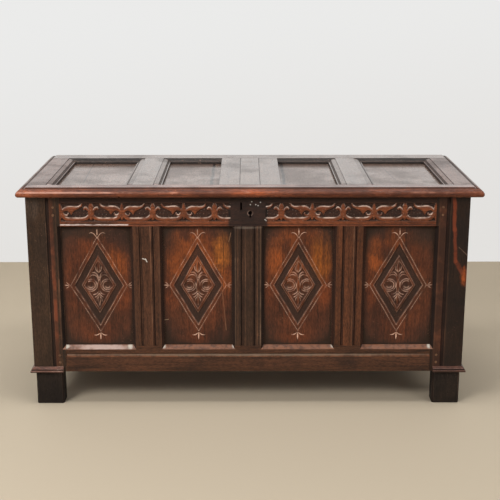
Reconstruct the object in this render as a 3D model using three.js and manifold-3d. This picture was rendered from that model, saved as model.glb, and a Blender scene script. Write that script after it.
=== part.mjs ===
// An oak coffer chest in joined frame and panel work, with a carved front and a panelled lid.
// Millimetres, +Z up. X runs along the front, Y runs from the front to the back, the floor is Z = 0.
import * as THREE from 'three';
import { mergeVertices } from 'three/addons/utils/BufferGeometryUtils.js';
import Module from 'manifold-3d';

const wasm = await Module();
wasm.setup();

// Overall sizes
const carcaseLength = 1330;
const carcaseDepth = 535;
const carcaseTop = 665;
const footHeight = 106.5;
const lidEndOverhang = 28.5;
const lidFrontOverhang = 30;
const lidBackOverhang = 11;
const lidThickness = 27.5;
const lidShift = 6;

// Clearances: the hairline between pieces that touch, and how far every cutter runs past the wood
const gap = 0.3;
const overrun = 20;

// Carcase timber
const stileWidth = 100;
const stileDepth = 50;
const frameThickness = 28;
const topRailHeight = 92.5;
const bottomRailHeight = 84;
const bottomRailLift = 0.5;
const frontMuntinWidth = 98;
const sideMuntinWidth = 92;
const backMuntinWidth = 92;
const frontPanelCount = 4;
const sidePanelCount = 2;
const backPanelCount = 3;

// Panels and the grooves that hold them
const panelRecess = 16;
const panelThickness = 11;
const panelEdgeThickness = 6;
const panelFieldRun = 42;
const grooveWidth = 8;
const grooveDepth = 10;

// Mortise and tenon joints
const railTenonLength = 60;
const sideTenonLength = 34;
const railTenonInset = 12;
const muntinTenonLength = 34;
const muntinTenonInset = 16;

// Mouldings of the front and side frames
const edgeBevelWidth = 9;
const edgeBevelDepth = 14;
const sillHeight = 11;
const stileChannelInset = 21;
const stileChannelWidth = 12;
const stileChannelDepth = 4;
const muntinChannelOffset = 20;
const muntinChannelWidth = 5;
const muntinChannelDepth = 3;
const muntinFilletOffset = 15.5;
const muntinFilletWidth = 3;
const muntinFilletDepth = 1.2;
const railLedgeDrop = 25;
const railLedgeHeight = 11.5;
const railLedgeDepth = 5;
const railLedgeLip = 2;
const railBeadOffset = 5;
const railBeadWidth = 3;
const railBeadDepth = 1.5;

// Carved frieze of the front top rail: its nodes stand one pitch apart from the plain middle outwards
const friezeFootMargin = 14;
const friezeHeadMargin = 23.5;
const friezeEndMargin = 2.5;
const friezePlainMiddle = 104;
const friezeLeadIn = 48;
const friezeDepth = 4.5;
const friezeNodeCount = 6;
const friezeSink = 0.5;
const strapSteps = 9;
const curlSteps = 4;
const budSteps = 5;

// Carved lozenges of the front panels, from the outer line to the sunk heart
const lozengeSideMargin = 17.5;
const lozengeEndMargin = 40.5;
const lozengeRise = 2.5;
const lozengeWaistDrop = 3;
const outerLineWidth = 2.5;
const lineDepth = 1.4;
const bandOuterShare = 0.87;
const bandInnerShare = 0.615;
const bandDepth = 3;
const heartShare = 0.505;
const heartDepth = 3.5;
const voluteOffset = 26;
const voluteRingRadii = [19, 12.5];
const voluteRimWidth = 3.2;
const voluteButtonRadius = 6;
const voluteSegments = 12;
const voluteButtonSegments = 8;
const strokeStepsShare = 1;

// Keyhole, old hasp slot and lock
const keyholeX = 6.5;
const keyholeDrop = 52;
const keyholeRadius = 5.5;
const keyholeSegments = 12;
const keySlotWidth = 4.5;
const keySlotDrop = 14;
const haspSlotX = -20.5;
const haspSlotWidth = 4;
const haspSlotHeight = 22;
const haspSlotDrop = 21;
const haspSlotDepth = 14;
const lockLength = 110;
const lockHeight = 74;
const lockDepth = 18;
const lockWall = 2.5;
const lockFlange = 12;
const lockDrop = 8;
const boltLength = 66;
const boltHeight = 10;
const boltThickness = 7;
const boltTravel = 12;
const boltDrop = 17;
const guideWidth = 3;
const guideInset = 20;
const guideSpacing = 40;
const boltTailLength = 14;
const stapleThickness = 6;
const stapleLegWidth = 3;
const stapleStandoff = 3;
const stapleLoopHeight = 14;
const staplePlateLength = 54;
const staplePlateWidth = 26;
const staplePlateThickness = 3;

// Feet and the moulded collars above them
const footWidth = 84;
const footDepth = 50;
const footOuterSetback = 4;
const footFrontSetback = 2;
const footChamfer = 4;
const footTenonLength = 30;
const footTenonWidth = 40;
const footTenonThickness = 20;
const collarHeight = 17;
const collarProud = 11;

// Floor boards
const floorBoardCount = 3;
const floorBoardThickness = 13;
const floorHeight = 18;
const floorTongue = 8;
const floorBoardGap = 1;

// Lid frame: the openings between its timbers follow from the widths of the timbers
const lidFrontRailWidth = 88.5;
const lidBackRailWidth = 89;
const lidEndStileWidth = 103.5;
const lidMuntinFace = 64;
const lidCentreMuntinWidth = 61;
const lidFillerWidth = 63.5;
const lidOuterOpeningShare = 0.5495;
const lidPanelRecess = 16;
const lidGrooveWidth = 6;
const lidPanelThickness = 9;
const lidPanelEdgeThickness = 4.5;
const lidTenonLength = 30;
const lidTenonInset = 12;
const lidMouldingWidth = 24;
const lidQuirkDepth = 1.6;
const lidHollowDepth = 8;
const lidFilletWidth = 4;
const lidOvoloSteps = 4;

// Thumbnail moulding round the lid's front and ends
const noseReach = 25;
const noseQuirkWidth = 3;
const noseQuirkDepth = 2.5;
const noseLowerRadius = 9;
const noseUpperSteps = 5;
const noseLowerSteps = 4;

// Hinges at the back
const hingeInset = 70;
const hingeWidth = 50;
const knuckleRadius = 5;
const hingePinRadius = 2.2;
const hingeLeafThickness = 3;
const hingePlateLength = 85;
const hingeStrapLength = 55;
const hingeSegments = 12;
const knuckleCount = 3;

// Heights and places that follow from the sizes above
const half = 0.5;
const quarterTurn = Math.PI * half;
const halfLength = carcaseLength / 2;
const halfLid = halfLength + lidEndOverhang;
const innerEdge = halfLength - stileWidth;
const bottomRailBase = footHeight + bottomRailLift;
const openingBottom = bottomRailBase + bottomRailHeight;
const openingTop = carcaseTop - topRailHeight;
const lidUnderside = carcaseTop + gap;
const lidTop = lidUnderside + lidThickness;
const lidBack = carcaseDepth + lidBackOverhang;
const lidFrontRailInner = lidFrontRailWidth - lidFrontOverhang;
const lidBackRailInner = lidBack - lidBackRailWidth;
const lidEndOpening = halfLid - lidEndStileWidth;
const lidBlockHalf = lidCentreMuntinWidth / 2 + lidFillerWidth;
const lidMuntinHalf = lidMuntinFace / 2 + lidMouldingWidth;
const lidClearWidth = lidEndOpening - lidBlockHalf - 2 * lidMuntinHalf;
const lidMuntinCentre = lidEndOpening - lidOuterOpeningShare * lidClearWidth - lidMuntinHalf;
const friezeBottom = openingTop + friezeFootMargin;
const friezeTop = carcaseTop - friezeHeadMargin;
const friezeInnerEdge = friezePlainMiddle / 2;
const friezeOuterEdge = innerEdge - friezeEndMargin;
const friezeFirstNode = friezeInnerEdge + friezeLeadIn;
const friezePitch = (friezeOuterEdge - friezeFirstNode) / (friezeNodeCount - 1);
const frontOpeningWidth = (2 * innerEdge - (frontPanelCount - 1) * frontMuntinWidth) / frontPanelCount;
const lozengeHalfWidth = frontOpeningWidth / 2 - lozengeSideMargin;
const lozengeHalfHeight = (openingTop - openingBottom) / 2 - lozengeEndMargin;
const keyholeZ = carcaseTop - keyholeDrop;
const haspSlotTop = carcaseTop - haspSlotDrop;
const lockTop = carcaseTop - lockDrop;
const hingeX = innerEdge - hingeInset;
const hingeAxisY = carcaseDepth + gap + knuckleRadius;
const hingeAxisZ = lidUnderside + hingeLeafThickness - knuckleRadius;

// Finishes
const darkOak = new THREE.MeshStandardMaterial({ color: 0x33241d, roughness: 0.42, metalness: 0 });
const redOak = new THREE.MeshStandardMaterial({ color: 0x4d2a1c, roughness: 0.38, metalness: 0 });
const panelOak = new THREE.MeshStandardMaterial({ color: 0x5a2d18, roughness: 0.36, metalness: 0 });
const footOak = new THREE.MeshStandardMaterial({ color: 0x2a2220, roughness: 0.5, metalness: 0 });
const lidOak = new THREE.MeshStandardMaterial({ color: 0x6a4c3c, roughness: 0.3, metalness: 0 });
const innerOak = new THREE.MeshStandardMaterial({ color: 0x7a5a3c, roughness: 0.7, metalness: 0 });
const iron = new THREE.MeshStandardMaterial({ color: 0x3a3634, roughness: 0.55, metalness: 0.85 });

// Turn a closed geometry into a solid, and a solid back into a mesh
function solidOf(geometry) {
  const bare = geometry.clone();
  bare.deleteAttribute('normal');
  bare.deleteAttribute('uv');
  const merged = mergeVertices(bare, 1e-4);
  return new wasm.Manifold(new wasm.Mesh({
    numProp: 3,
    vertProperties: new Float32Array(merged.attributes.position.array),
    triVerts: new Uint32Array(merged.index.array),
  }));
}

function meshOf(name, solid, material) {
  const data = solid.getMesh();
  const indexed = new THREE.BufferGeometry();
  indexed.setAttribute('position', new THREE.BufferAttribute(new Float32Array(data.vertProperties), 3));
  indexed.setIndex(new THREE.BufferAttribute(new Uint32Array(data.triVerts), 1));
  const geometry = indexed.toNonIndexed();
  geometry.computeVertexNormals();
  const mesh = new THREE.Mesh(geometry, material);
  mesh.name = name;
  return mesh;
}

// A squared block between two corners, given in any order
function block([x0, x1], [y0, y1], [z0, z1]) {
  const geometry = new THREE.BoxGeometry(Math.abs(x1 - x0), Math.abs(y1 - y0), Math.abs(z1 - z0));
  geometry.translate((x0 + x1) * half, (y0 + y1) * half, (z0 + z1) * half);
  return solidOf(geometry);
}

// Local axes of an outline that is drawn across the named direction and pushed along it
const alongBasis = {
  x: new THREE.Matrix4().makeBasis(
    new THREE.Vector3(0, 1, 0), new THREE.Vector3(0, 0, 1), new THREE.Vector3(1, 0, 0)),
  y: new THREE.Matrix4().makeBasis(
    new THREE.Vector3(1, 0, 0), new THREE.Vector3(0, 0, 1), new THREE.Vector3(0, -1, 0)),
  z: new THREE.Matrix4(),
};

function shapeOf(points) {
  return new THREE.Shape(points.map(([a, b]) => new THREE.Vector2(a, b)));
}

// A length of stock: outline (Y, Z) along x, (X, Z) along y or (X, Y) along z
function stock(axis, shape, from, to, matrix) {
  const geometry = new THREE.ExtrudeGeometry(shape, {
    depth: Math.abs(to - from), bevelEnabled: false, steps: 1,
  });
  const start = axis === 'y' ? -Math.max(from, to) : Math.min(from, to);
  geometry.translate(0, 0, start);
  geometry.applyMatrix4(alongBasis[axis]);
  if (matrix) {
    geometry.applyMatrix4(matrix);
  }
  return solidOf(geometry);
}

function cylinderAlong(axis, radius, from, to, [a, b], segments) {
  const circle = new THREE.Shape();
  circle.absarc(a, b, radius, 0, Math.PI * 2);
  const outline = new THREE.Shape(circle.getPoints(segments).slice(0, -1));
  return stock(axis, outline, from, to);
}

function union(solids) {
  return solids.reduce((sum, solid) => sum.add(solid));
}

function cutAll(solid, cutters) {
  return cutters.reduce((rest, cutter) => rest.subtract(cutter), solid);
}

// A tapering stroke that follows a smooth curve, as carved scrollwork does
function widthAt(widths, share) {
  const place = share * (widths.length - 1);
  const index = Math.min(Math.floor(place), widths.length - 2);
  return THREE.MathUtils.lerp(widths[index], widths[index + 1], place - index);
}

function strokeShape(points, widths, steps) {
  const curve = new THREE.SplineCurve(points.map(([a, b]) => new THREE.Vector2(a, b)));
  const one = [];
  const other = [];
  for (let i = 0; i <= steps; i += 1) {
    const share = i / steps;
    const centre = curve.getPoint(share);
    const along = curve.getTangent(share);
    const reach = widthAt(widths, share) * half;
    one.push(new THREE.Vector2(centre.x - along.y * reach, centre.y + along.x * reach));
    other.unshift(new THREE.Vector2(centre.x + along.y * reach, centre.y - along.x * reach));
  }
  return new THREE.Shape([...one, ...other]);
}

// A frame is described in its own axes: x along it, y into the wood from its face, z up
const frames = {
  front: { span: 2 * innerEdge, count: frontPanelCount, muntin: frontMuntinWidth, bevelled: true },
  side: {
    span: carcaseDepth - 2 * stileDepth, count: sidePanelCount, muntin: sideMuntinWidth, bevelled: true,
  },
  back: { span: 2 * innerEdge, count: backPanelCount, muntin: backMuntinWidth, bevelled: false },
};
frames.front.tenon = railTenonLength;
frames.side.tenon = sideTenonLength;
frames.back.tenon = railTenonLength;

const framePlaces = {
  front: new THREE.Matrix4(),
  left: new THREE.Matrix4().makeRotationZ(-quarterTurn).setPosition(-halfLength, carcaseDepth / 2, 0),
  right: new THREE.Matrix4().makeRotationZ(quarterTurn).setPosition(halfLength, carcaseDepth / 2, 0),
  back: new THREE.Matrix4().makeRotationZ(Math.PI).setPosition(0, carcaseDepth, 0),
};

// The clear width between two uprights, and where each opening and muntin starts and ends
function openings(frame) {
  const width = (frame.span - (frame.count - 1) * frame.muntin) / frame.count;
  return Array.from({ length: frame.count }, (_, i) => {
    const start = -frame.span / 2 + i * (width + frame.muntin);
    return [start, start + width];
  });
}

function muntinEdges(frame) {
  const clear = openings(frame);
  return clear.slice(1).map(([start], i) => [clear[i][1], start]);
}

// The bevel round a panel opening: upright bevels and the deeper sill meet in mitres at the corners
function bevelCutter([x0, x1], matrix) {
  const flare = edgeBevelWidth / edgeBevelDepth;
  const sillFlare = sillHeight / edgeBevelDepth;
  const acrossOutline = shapeOf([
    [x0 - edgeBevelWidth - flare * overrun, -overrun],
    [x1 + edgeBevelWidth + flare * overrun, -overrun],
    [x1, edgeBevelDepth],
    [x0, edgeBevelDepth],
  ]);
  const upOutline = shapeOf([
    [-overrun, openingBottom - sillHeight - sillFlare * overrun],
    [edgeBevelDepth, openingBottom],
    [edgeBevelDepth, openingTop],
    [-overrun, openingTop],
  ]);
  const across = stock('z', acrossOutline, openingBottom - 3 * overrun, openingTop, matrix);
  const up = stock('x', upOutline, x0 - 3 * overrun, x1 + 3 * overrun, matrix);
  return across.intersect(up);
}

// A scratched channel with sloping sides, cut along an upright or a rail
function channelShape(centre, width, depth, flatShare) {
  const flat = width * half * flatShare;
  return [
    [centre - width / 2, -overrun],
    [centre + width / 2, -overrun],
    [centre + width / 2, 0],
    [centre + flat, depth],
    [centre - flat, depth],
    [centre - width / 2, 0],
  ];
}

function uprightChannel(x, width, depth) {
  return stock('z', shapeOf(channelShape(x, width, depth, half)), -overrun, carcaseTop + overrun);
}

function railChannel(z, width, depth, length) {
  const outline = channelShape(z, width, depth, half).map(([a, b]) => [b, a]);
  return stock('x', shapeOf(outline), -length, length);
}

// The weathered ledge of a bottom rail: a steep lip above a broad slope that runs down to the face
function railLedge(length) {
  const top = openingBottom - railLedgeDrop;
  return stock('x', shapeOf([
    [-overrun, top],
    [-overrun, top - railLedgeHeight],
    [0, top - railLedgeHeight],
    [railLedgeDepth, top - railLedgeLip],
    [0, top],
  ]), -length, length);
}

// Rails lie between the stiles, with a tenon at each end, a panel groove and a mortise for each muntin
function rail(frame, isTop) {
  const [z0, z1] = isTop ? [openingTop, carcaseTop] : [bottomRailBase, openingBottom];
  const reach = frame.span / 2;
  const face = panelRecess + gap;
  const back = panelRecess + grooveWidth - gap;
  let solid = block([-reach + gap, reach - gap], [0, frameThickness], [z0, z1]);
  const tenon = block([-reach - frame.tenon, reach + frame.tenon], [face, back],
    [z0 + railTenonInset, z1 - railTenonInset]);
  solid = solid.add(tenon);
  const edge = isTop ? openingTop : openingBottom;
  const inward = isTop ? 1 : -1;
  const groove = block([-reach - gap, reach + gap], [panelRecess, panelRecess + grooveWidth],
    [edge - inward * overrun, edge + inward * grooveDepth]);
  const mortises = muntinEdges(frame).map(([x0, x1]) => block(
    [x0 + muntinTenonInset - gap, x1 - muntinTenonInset + gap],
    [panelRecess, panelRecess + grooveWidth],
    [edge - inward * overrun, edge + inward * (muntinTenonLength + gap)]));
  return cutAll(solid, [groove, ...mortises]);
}

function floorGroove(frame) {
  const z0 = bottomRailBase + floorHeight;
  return block([-frame.span, frame.span], [frameThickness - floorTongue - gap, frameThickness + overrun],
    [z0 - gap, z0 + floorBoardThickness + gap]);
}

function bottomRail(frame) {
  let solid = rail(frame, false).subtract(floorGroove(frame));
  if (frame.bevelled) {
    solid = cutAll(solid, openings(frame).map((opening) => bevelCutter(opening)));
    solid = solid.subtract(railLedge(frame.span));
  }
  return solid;
}

function plainTopRail(frame) {
  const solid = rail(frame, true);
  if (!frame.bevelled) {
    return solid;
  }
  return solid.subtract(railChannel(openingTop + railBeadOffset, railBeadWidth, railBeadDepth, frame.span));
}

// Muntins stand between the rails on tenons, with a panel groove down each side
function muntin(frame, [x0, x1]) {
  const face = panelRecess + gap;
  const back = panelRecess + grooveWidth - gap;
  let solid = block([x0, x1], [0, frameThickness], [openingBottom + gap, openingTop - gap]);
  solid = solid.add(block([x0 + muntinTenonInset, x1 - muntinTenonInset], [face, back],
    [openingBottom - muntinTenonLength, openingTop + muntinTenonLength]));
  const grooves = [[x0, 1], [x1, -1]].map(([edge, inward]) => block(
    [edge - inward * overrun, edge + inward * grooveDepth], [panelRecess, panelRecess + grooveWidth],
    [openingBottom - gap, openingTop + gap]));
  solid = cutAll(solid, grooves);
  if (frame.bevelled) {
    const near = openings(frame).filter(([start, end]) => end === x0 || start === x1);
    solid = cutAll(solid, near.map((opening) => bevelCutter(opening)));
  }
  return solid;
}

function mouldedMuntin(frame, [x0, x1]) {
  const centre = (x0 + x1) / 2;
  const cutters = [-1, 1].flatMap((side) => [
    uprightChannel(centre + side * muntinChannelOffset, muntinChannelWidth, muntinChannelDepth),
    uprightChannel(centre + side * muntinFilletOffset, muntinFilletWidth, muntinFilletDepth),
  ]);
  return cutAll(muntin(frame, [x0, x1]), cutters);
}

// Panels have a flat front and are thinned behind, all round, so that their edges fit the grooves
function fieldedOutline(low, high, face, thickness, edgeThickness) {
  return [
    [low, face],
    [high, face],
    [high, face + edgeThickness],
    [high - panelFieldRun, face + thickness],
    [low + panelFieldRun, face + thickness],
    [low, face + edgeThickness],
  ];
}

function fieldedPanel([x0, x1], [z0, z1], recess, thickness, edgeThickness) {
  const tongue = grooveDepth - gap;
  const face = recess + gap;
  const across = fieldedOutline(x0 - tongue, x1 + tongue, face, thickness, edgeThickness);
  const up = fieldedOutline(z0 - tongue, z1 + tongue, face, thickness, edgeThickness);
  return stock('z', shapeOf(across), z0 - tongue, z1 + tongue)
    .intersect(stock('x', shapeOf(up.map(([a, b]) => [b, a])), x0 - tongue, x1 + tongue));
}

function plainPanel(opening) {
  return fieldedPanel(opening, [openingBottom, openingTop], panelRecess, panelThickness, panelEdgeThickness);
}

// The lozenge on each front panel: an outer line, a sunk band, a raised inner frame and a sunk heart
function rhombus(centreX, centreZ, share, trim) {
  const width = lozengeHalfWidth * share - trim;
  const height = width * lozengeHalfHeight / lozengeHalfWidth;
  const waistZ = centreZ - lozengeWaistDrop;
  return shapeOf([
    [centreX + width, waistZ], [centreX, centreZ + height],
    [centreX - width, waistZ], [centreX, centreZ - height],
  ]);
}

function rhombusRing(centreX, centreZ, outer, inner, face, depth) {
  const ring = stock('y', outer, face - overrun, face + depth);
  return ring.subtract(stock('y', inner, face - 2 * overrun, face + 2 * overrun));
}

// Heart of the lozenge: two volutes back to back, with a stem, leaves and lancets. The strokes are in
// shares of the lozenge's half width and half height, and their widths in shares of the half width.
const heartStrokeShares = [
  { points: [[0, -0.14], [0, 0], [0, 0.14]], widths: [0.14, 0.17, 0.14], paired: false },
  { points: [[0, 0.13], [0, 0.32], [0, 0.45]], widths: [0.05, 0.1, 0.02], paired: false },
  { points: [[0, -0.13], [0, -0.27], [0, -0.45]], widths: [0.05, 0.12, 0.02], paired: false },
  { points: [[0.02, 0.09], [0.09, 0.165], [0.21, 0.235]], widths: [0.06, 0.07, 0.03], paired: true },
  { points: [[0.02, 0.16], [0.06, 0.235], [0.15, 0.3]], widths: [0.05, 0.06, 0.03], paired: true },
  { points: [[0.02, -0.11], [0.1, -0.175], [0.21, -0.21]], widths: [0.06, 0.07, 0.03], paired: true },
];

function heartStroke(centreX, centreZ, side, { points, widths }, from, to) {
  const places = points.map(([a, b]) => [
    centreX + side * a * lozengeHalfWidth,
    centreZ + b * lozengeHalfHeight,
  ]);
  const breadths = widths.map((share) => share * lozengeHalfWidth);
  return stock('y', strokeShape(places, breadths, strokeStepsShare * points.length), from, to);
}

function lozengeHeart(centreX, centreZ, face) {
  const from = face + friezeSink;
  const to = face + heartDepth + lineDepth;
  const pieces = [];
  for (const side of [-1, 1]) {
    const place = [centreX + side * voluteOffset, centreZ - lozengeWaistDrop];
    for (const radius of voluteRingRadii) {
      const rim = cylinderAlong('y', radius, from, to, place, voluteSegments);
      const hollow = cylinderAlong('y', radius - voluteRimWidth, from - overrun, to + overrun, place,
        voluteSegments);
      pieces.push(rim.subtract(hollow));
    }
    pieces.push(cylinderAlong('y', voluteButtonRadius, from, to, place, voluteButtonSegments));
  }
  for (const stroke of heartStrokeShares) {
    for (const side of stroke.paired ? [-1, 1] : [1]) {
      pieces.push(heartStroke(centreX, centreZ, side, stroke, from, to));
    }
  }
  return union(pieces);
}

function lozengePanel([x0, x1]) {
  const face = panelRecess + gap;
  const centreX = (x0 + x1) / 2;
  const centreZ = (openingBottom + openingTop) / 2 + lozengeRise;
  const shape = (share, trim) => rhombus(centreX, centreZ, share, trim);
  const heart = stock('y', shape(heartShare, 0), face - overrun, face + heartDepth);
  const relief = lozengeHeart(centreX, centreZ, face)
    .intersect(stock('y', shape(heartShare, -lineDepth), face, face + heartDepth + lineDepth));
  const cut = cutAll(plainPanel([x0, x1]), [
    rhombusRing(centreX, centreZ, shape(1, 0), shape(1, outerLineWidth), face, lineDepth),
    rhombusRing(centreX, centreZ, shape(bandOuterShare, 0), shape(bandInnerShare, 0), face, bandDepth),
    heart,
  ]);
  return cut.add(relief);
}

// The frieze: a sunk ground with a strap along its foot, leaves that spring from every second node,
// and a bud with two curls on the nodes between. Shares run from one node to the next and up the field.
const strapShares = [[0, 0.54], [0.07, 0.36], [0.13, 0.22], [0.25, 0.11], [0.5, 0.085], [0.75, 0.11],
  [0.87, 0.2], [0.93, 0.33], [1, 0.52]];
const strapWidthShares = [0.17, 0.18, 0.22, 0.27, 0.28, 0.27, 0.22, 0.2, 0.17];
const leafOutlineShares = [[0.03, 0.6], [0.08, 0.7], [0.16, 0.8], [0.29, 0.87], [0.44, 0.865], [0.53, 0.81],
  [0.61, 0.83], [0.68, 0.9], [0.73, 1.02], [0.71, 0.85], [0.63, 0.735], [0.54, 0.67], [0.46, 0.61],
  [0.4, 0.5], [0.35, 0.46], [0.31, 0.55], [0.23, 0.62], [0.14, 0.6], [0.07, 0.52]];
const curlShares = [[1, 0.6], [0.93, 0.67], [0.86, 0.77], [0.8, 0.78], [0.755, 0.68]];
const curlWidthShares = [0.12, 0.1, 0.12, 0.11, 0.04];
const budShares = [[0, 0.2], [0, 0.42], [0, 0.62], [0, 0.82], [0, 0.92], [0, 1.04]];
const openBudWidthShares = [0.3, 0.33, 0.25, 0.3, 0.26, 0.08];
const closedBudWidthShares = [0.3, 0.28, 0.18, 0.16, 0.15, 0.05];

function friezePlaces(start, end, shares) {
  const height = friezeTop - friezeBottom;
  return shares.map(([a, b]) => [THREE.MathUtils.lerp(start, end, a), friezeBottom + b * height]);
}

function friezeStroke(start, end, shares, widthShares, steps) {
  const widths = widthShares.map((share) => share * (friezeTop - friezeBottom));
  return stock('y', strokeShape(friezePlaces(start, end, shares), widths, steps), friezeSink,
    friezeDepth + lineDepth);
}

function friezeHalf(side) {
  const nodeX = (index) => side * (friezeFirstNode + friezePitch * index);
  const strokes = [];
  for (let index = -1; index < friezeNodeCount; index += 1) {
    const isBud = index % 2 === 0;
    strokes.push(friezeStroke(nodeX(index), nodeX(index), budShares,
      isBud ? openBudWidthShares : closedBudWidthShares, budSteps));
    const leafNode = nodeX(isBud ? index + 1 : index);
    const budNode = nodeX(isBud ? index : index + 1);
    if (index < friezeNodeCount - 1) {
      strokes.push(friezeStroke(leafNode, budNode, strapShares, strapWidthShares, strapSteps));
      strokes.push(friezeStroke(leafNode, budNode, curlShares, curlWidthShares, curlSteps));
      strokes.push(stock('y', shapeOf(friezePlaces(leafNode, budNode, leafOutlineShares)), friezeSink,
        friezeDepth + lineDepth));
    }
  }
  const edges = [side * friezeInnerEdge, side * friezeOuterEdge];
  return union(strokes).intersect(block(edges, [0, frameThickness], [friezeBottom, friezeTop]));
}

function frontTopRail() {
  let solid = plainTopRail(frames.front);
  for (const side of [-1, 1]) {
    const field = block([side * friezeInnerEdge, side * friezeOuterEdge], [-overrun, friezeDepth],
      [friezeBottom, friezeTop]);
    solid = solid.subtract(field).add(friezeHalf(side));
  }
  const through = frameThickness + overrun;
  const eye = cylinderAlong('y', keyholeRadius, -overrun, through, [keyholeX, keyholeZ],
    keyholeSegments);
  const throat = block([keyholeX - keySlotWidth / 2, keyholeX + keySlotWidth / 2], [-overrun, through],
    [keyholeZ - keySlotDrop, keyholeZ]);
  const haspSlot = block([haspSlotX - haspSlotWidth / 2, haspSlotX + haspSlotWidth / 2],
    [-overrun, haspSlotDepth], [haspSlotTop - haspSlotHeight, haspSlotTop]);
  return cutAll(solid, [eye, throat, haspSlot]);
}

// The stub tenon under a front stile, which stands in the foot block
function footTenon(side) {
  const centreX = side * (halfLength - stileWidth / 2);
  const centreY = stileDepth / 2;
  return block([centreX - footTenonWidth / 2, centreX + footTenonWidth / 2],
    [centreY - footTenonThickness / 2, centreY + footTenonThickness / 2],
    [footHeight - footTenonLength, footHeight + overrun]);
}

// Corner stiles take the rails of two frames in mortises and the outer panels in grooves
function stile(side, isBack) {
  const base = isBack ? 0 : footHeight + gap;
  const faceY = isBack ? carcaseDepth : 0;
  const inward = isBack ? -1 : 1;
  const outerX = side * halfLength;
  const innerX = side * innerEdge;
  const sideY = faceY + inward * stileDepth;
  const depthAt = (depth) => faceY + inward * depth;
  const widthAtDepth = (depth) => outerX - side * depth;
  const grooveBack = panelRecess + grooveWidth;
  let solid = block([outerX, innerX], [faceY, sideY], [base, carcaseTop]);
  if (!isBack) {
    solid = solid.add(footTenon(side));
  }
  const zRanges = [
    [bottomRailBase + railTenonInset - gap, openingBottom - railTenonInset + gap],
    [openingTop + railTenonInset - gap, carcaseTop - railTenonInset + gap],
  ];
  const longMortises = zRanges.map((range) => block(
    [innerX - side * overrun, innerX + side * (railTenonLength + gap)],
    [depthAt(panelRecess), depthAt(grooveBack)], range));
  const sideMortises = zRanges.map((range) => block([widthAtDepth(panelRecess), widthAtDepth(grooveBack)],
    [sideY + inward * overrun, sideY - inward * (sideTenonLength + gap)], range));
  const grooveRange = [openingBottom - grooveDepth, openingTop + grooveDepth];
  const longGroove = block([innerX - side * overrun, innerX + side * grooveDepth],
    [depthAt(panelRecess), depthAt(grooveBack)], grooveRange);
  const sideGroove = block([widthAtDepth(panelRecess), widthAtDepth(grooveBack)],
    [sideY + inward * overrun, sideY - inward * grooveDepth], grooveRange);
  solid = cutAll(solid, [...longMortises, ...sideMortises, longGroove, sideGroove]);
  const sidePlace = side < 0 ? framePlaces.left : framePlaces.right;
  solid = cutAll(solid, openings(frames.side).map((opening) => bevelCutter(opening, sidePlace)));
  return solid;
}

function frontStile(side) {
  const nearest = openings(frames.front).at(side < 0 ? 0 : -1);
  const faceEdge = innerEdge + edgeBevelWidth;
  const channelX = side * (faceEdge + stileChannelInset + stileChannelWidth / 2);
  return cutAll(stile(side, false), [
    bevelCutter(nearest),
    uprightChannel(channelX, stileChannelWidth, stileChannelDepth),
  ]);
}

// Front foot blocks, mortised for the stile above, with their upright corners taken off
function foot(side) {
  const outerX = halfLength - footOuterSetback;
  const innerX = outerX - footWidth;
  const front = footFrontSetback;
  const back = front + footDepth;
  const outline = shapeOf([
    [side * (innerX + footChamfer), front], [side * (outerX - footChamfer), front],
    [side * outerX, front + footChamfer], [side * outerX, back],
    [side * innerX, back], [side * innerX, front + footChamfer],
  ]);
  const centreX = side * (halfLength - stileWidth / 2);
  const centreY = stileDepth / 2;
  const mortise = block(
    [centreX - footTenonWidth / 2 - gap, centreX + footTenonWidth / 2 + gap],
    [centreY - footTenonThickness / 2 - gap, centreY + footTenonThickness / 2 + gap],
    [footHeight - footTenonLength - gap, footHeight + overrun]);
  return stock('z', outline, 0, footHeight).subtract(mortise);
}

// The collar's profile, in shares of how far it stands proud and how high it is
const collarShares = [[1, 0], [1.05, 0.24], [0.96, 0.33], [0.78, 0.36], [0.74, 0.62], [0.5, 0.68], [0.12, 1]];

function footCollar(side) {
  const base = footHeight + gap;
  const profile = collarShares.map(([out, up]) => [collarProud * out, base + collarHeight * up]);
  const innerX = innerEdge + edgeBevelWidth;
  const frontSection = [[stileDepth, base], ...profile.map(([out, z]) => [-out, z]),
    [stileDepth, base + collarHeight]];
  const sideSection = [[side * innerX, base], ...profile.map(([out, z]) => [side * (halfLength + out), z]),
    [side * innerX, base + collarHeight]];
  const reach = halfLength + 2 * collarProud;
  const frontRun = stock('x', shapeOf(frontSection), side * innerX, side * reach);
  const sideRun = stock('y', shapeOf(sideSection), -2 * collarProud, stileDepth);
  const stileSpace = block([side * (innerX - overrun), side * (halfLength + gap)],
    [-gap, stileDepth + overrun], [base - overrun, base + collarHeight + overrun]);
  return frontRun.intersect(sideRun).subtract(stileSpace);
}

// Floor boards run the length of the chest in grooves, notched round the corner stiles
function floorBoard(index) {
  const low = frameThickness - floorTongue;
  const high = carcaseDepth - low;
  const width = (high - low - (floorBoardCount - 1) * floorBoardGap) / floorBoardCount;
  const start = low + index * (width + floorBoardGap);
  const reach = halfLength - low;
  const z0 = bottomRailBase + floorHeight;
  const board = block([-reach, reach], [start, start + width], [z0, z0 + floorBoardThickness]);
  const notches = [-1, 1].flatMap((side) => [
    block([side * (innerEdge - gap), side * (halfLength + overrun)], [0, stileDepth + gap],
      [z0 - overrun, z0 + overrun]),
    block([side * (innerEdge - gap), side * (halfLength + overrun)],
      [carcaseDepth - stileDepth - gap, carcaseDepth], [z0 - overrun, z0 + overrun]),
  ]);
  return cutAll(board, notches);
}

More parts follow.
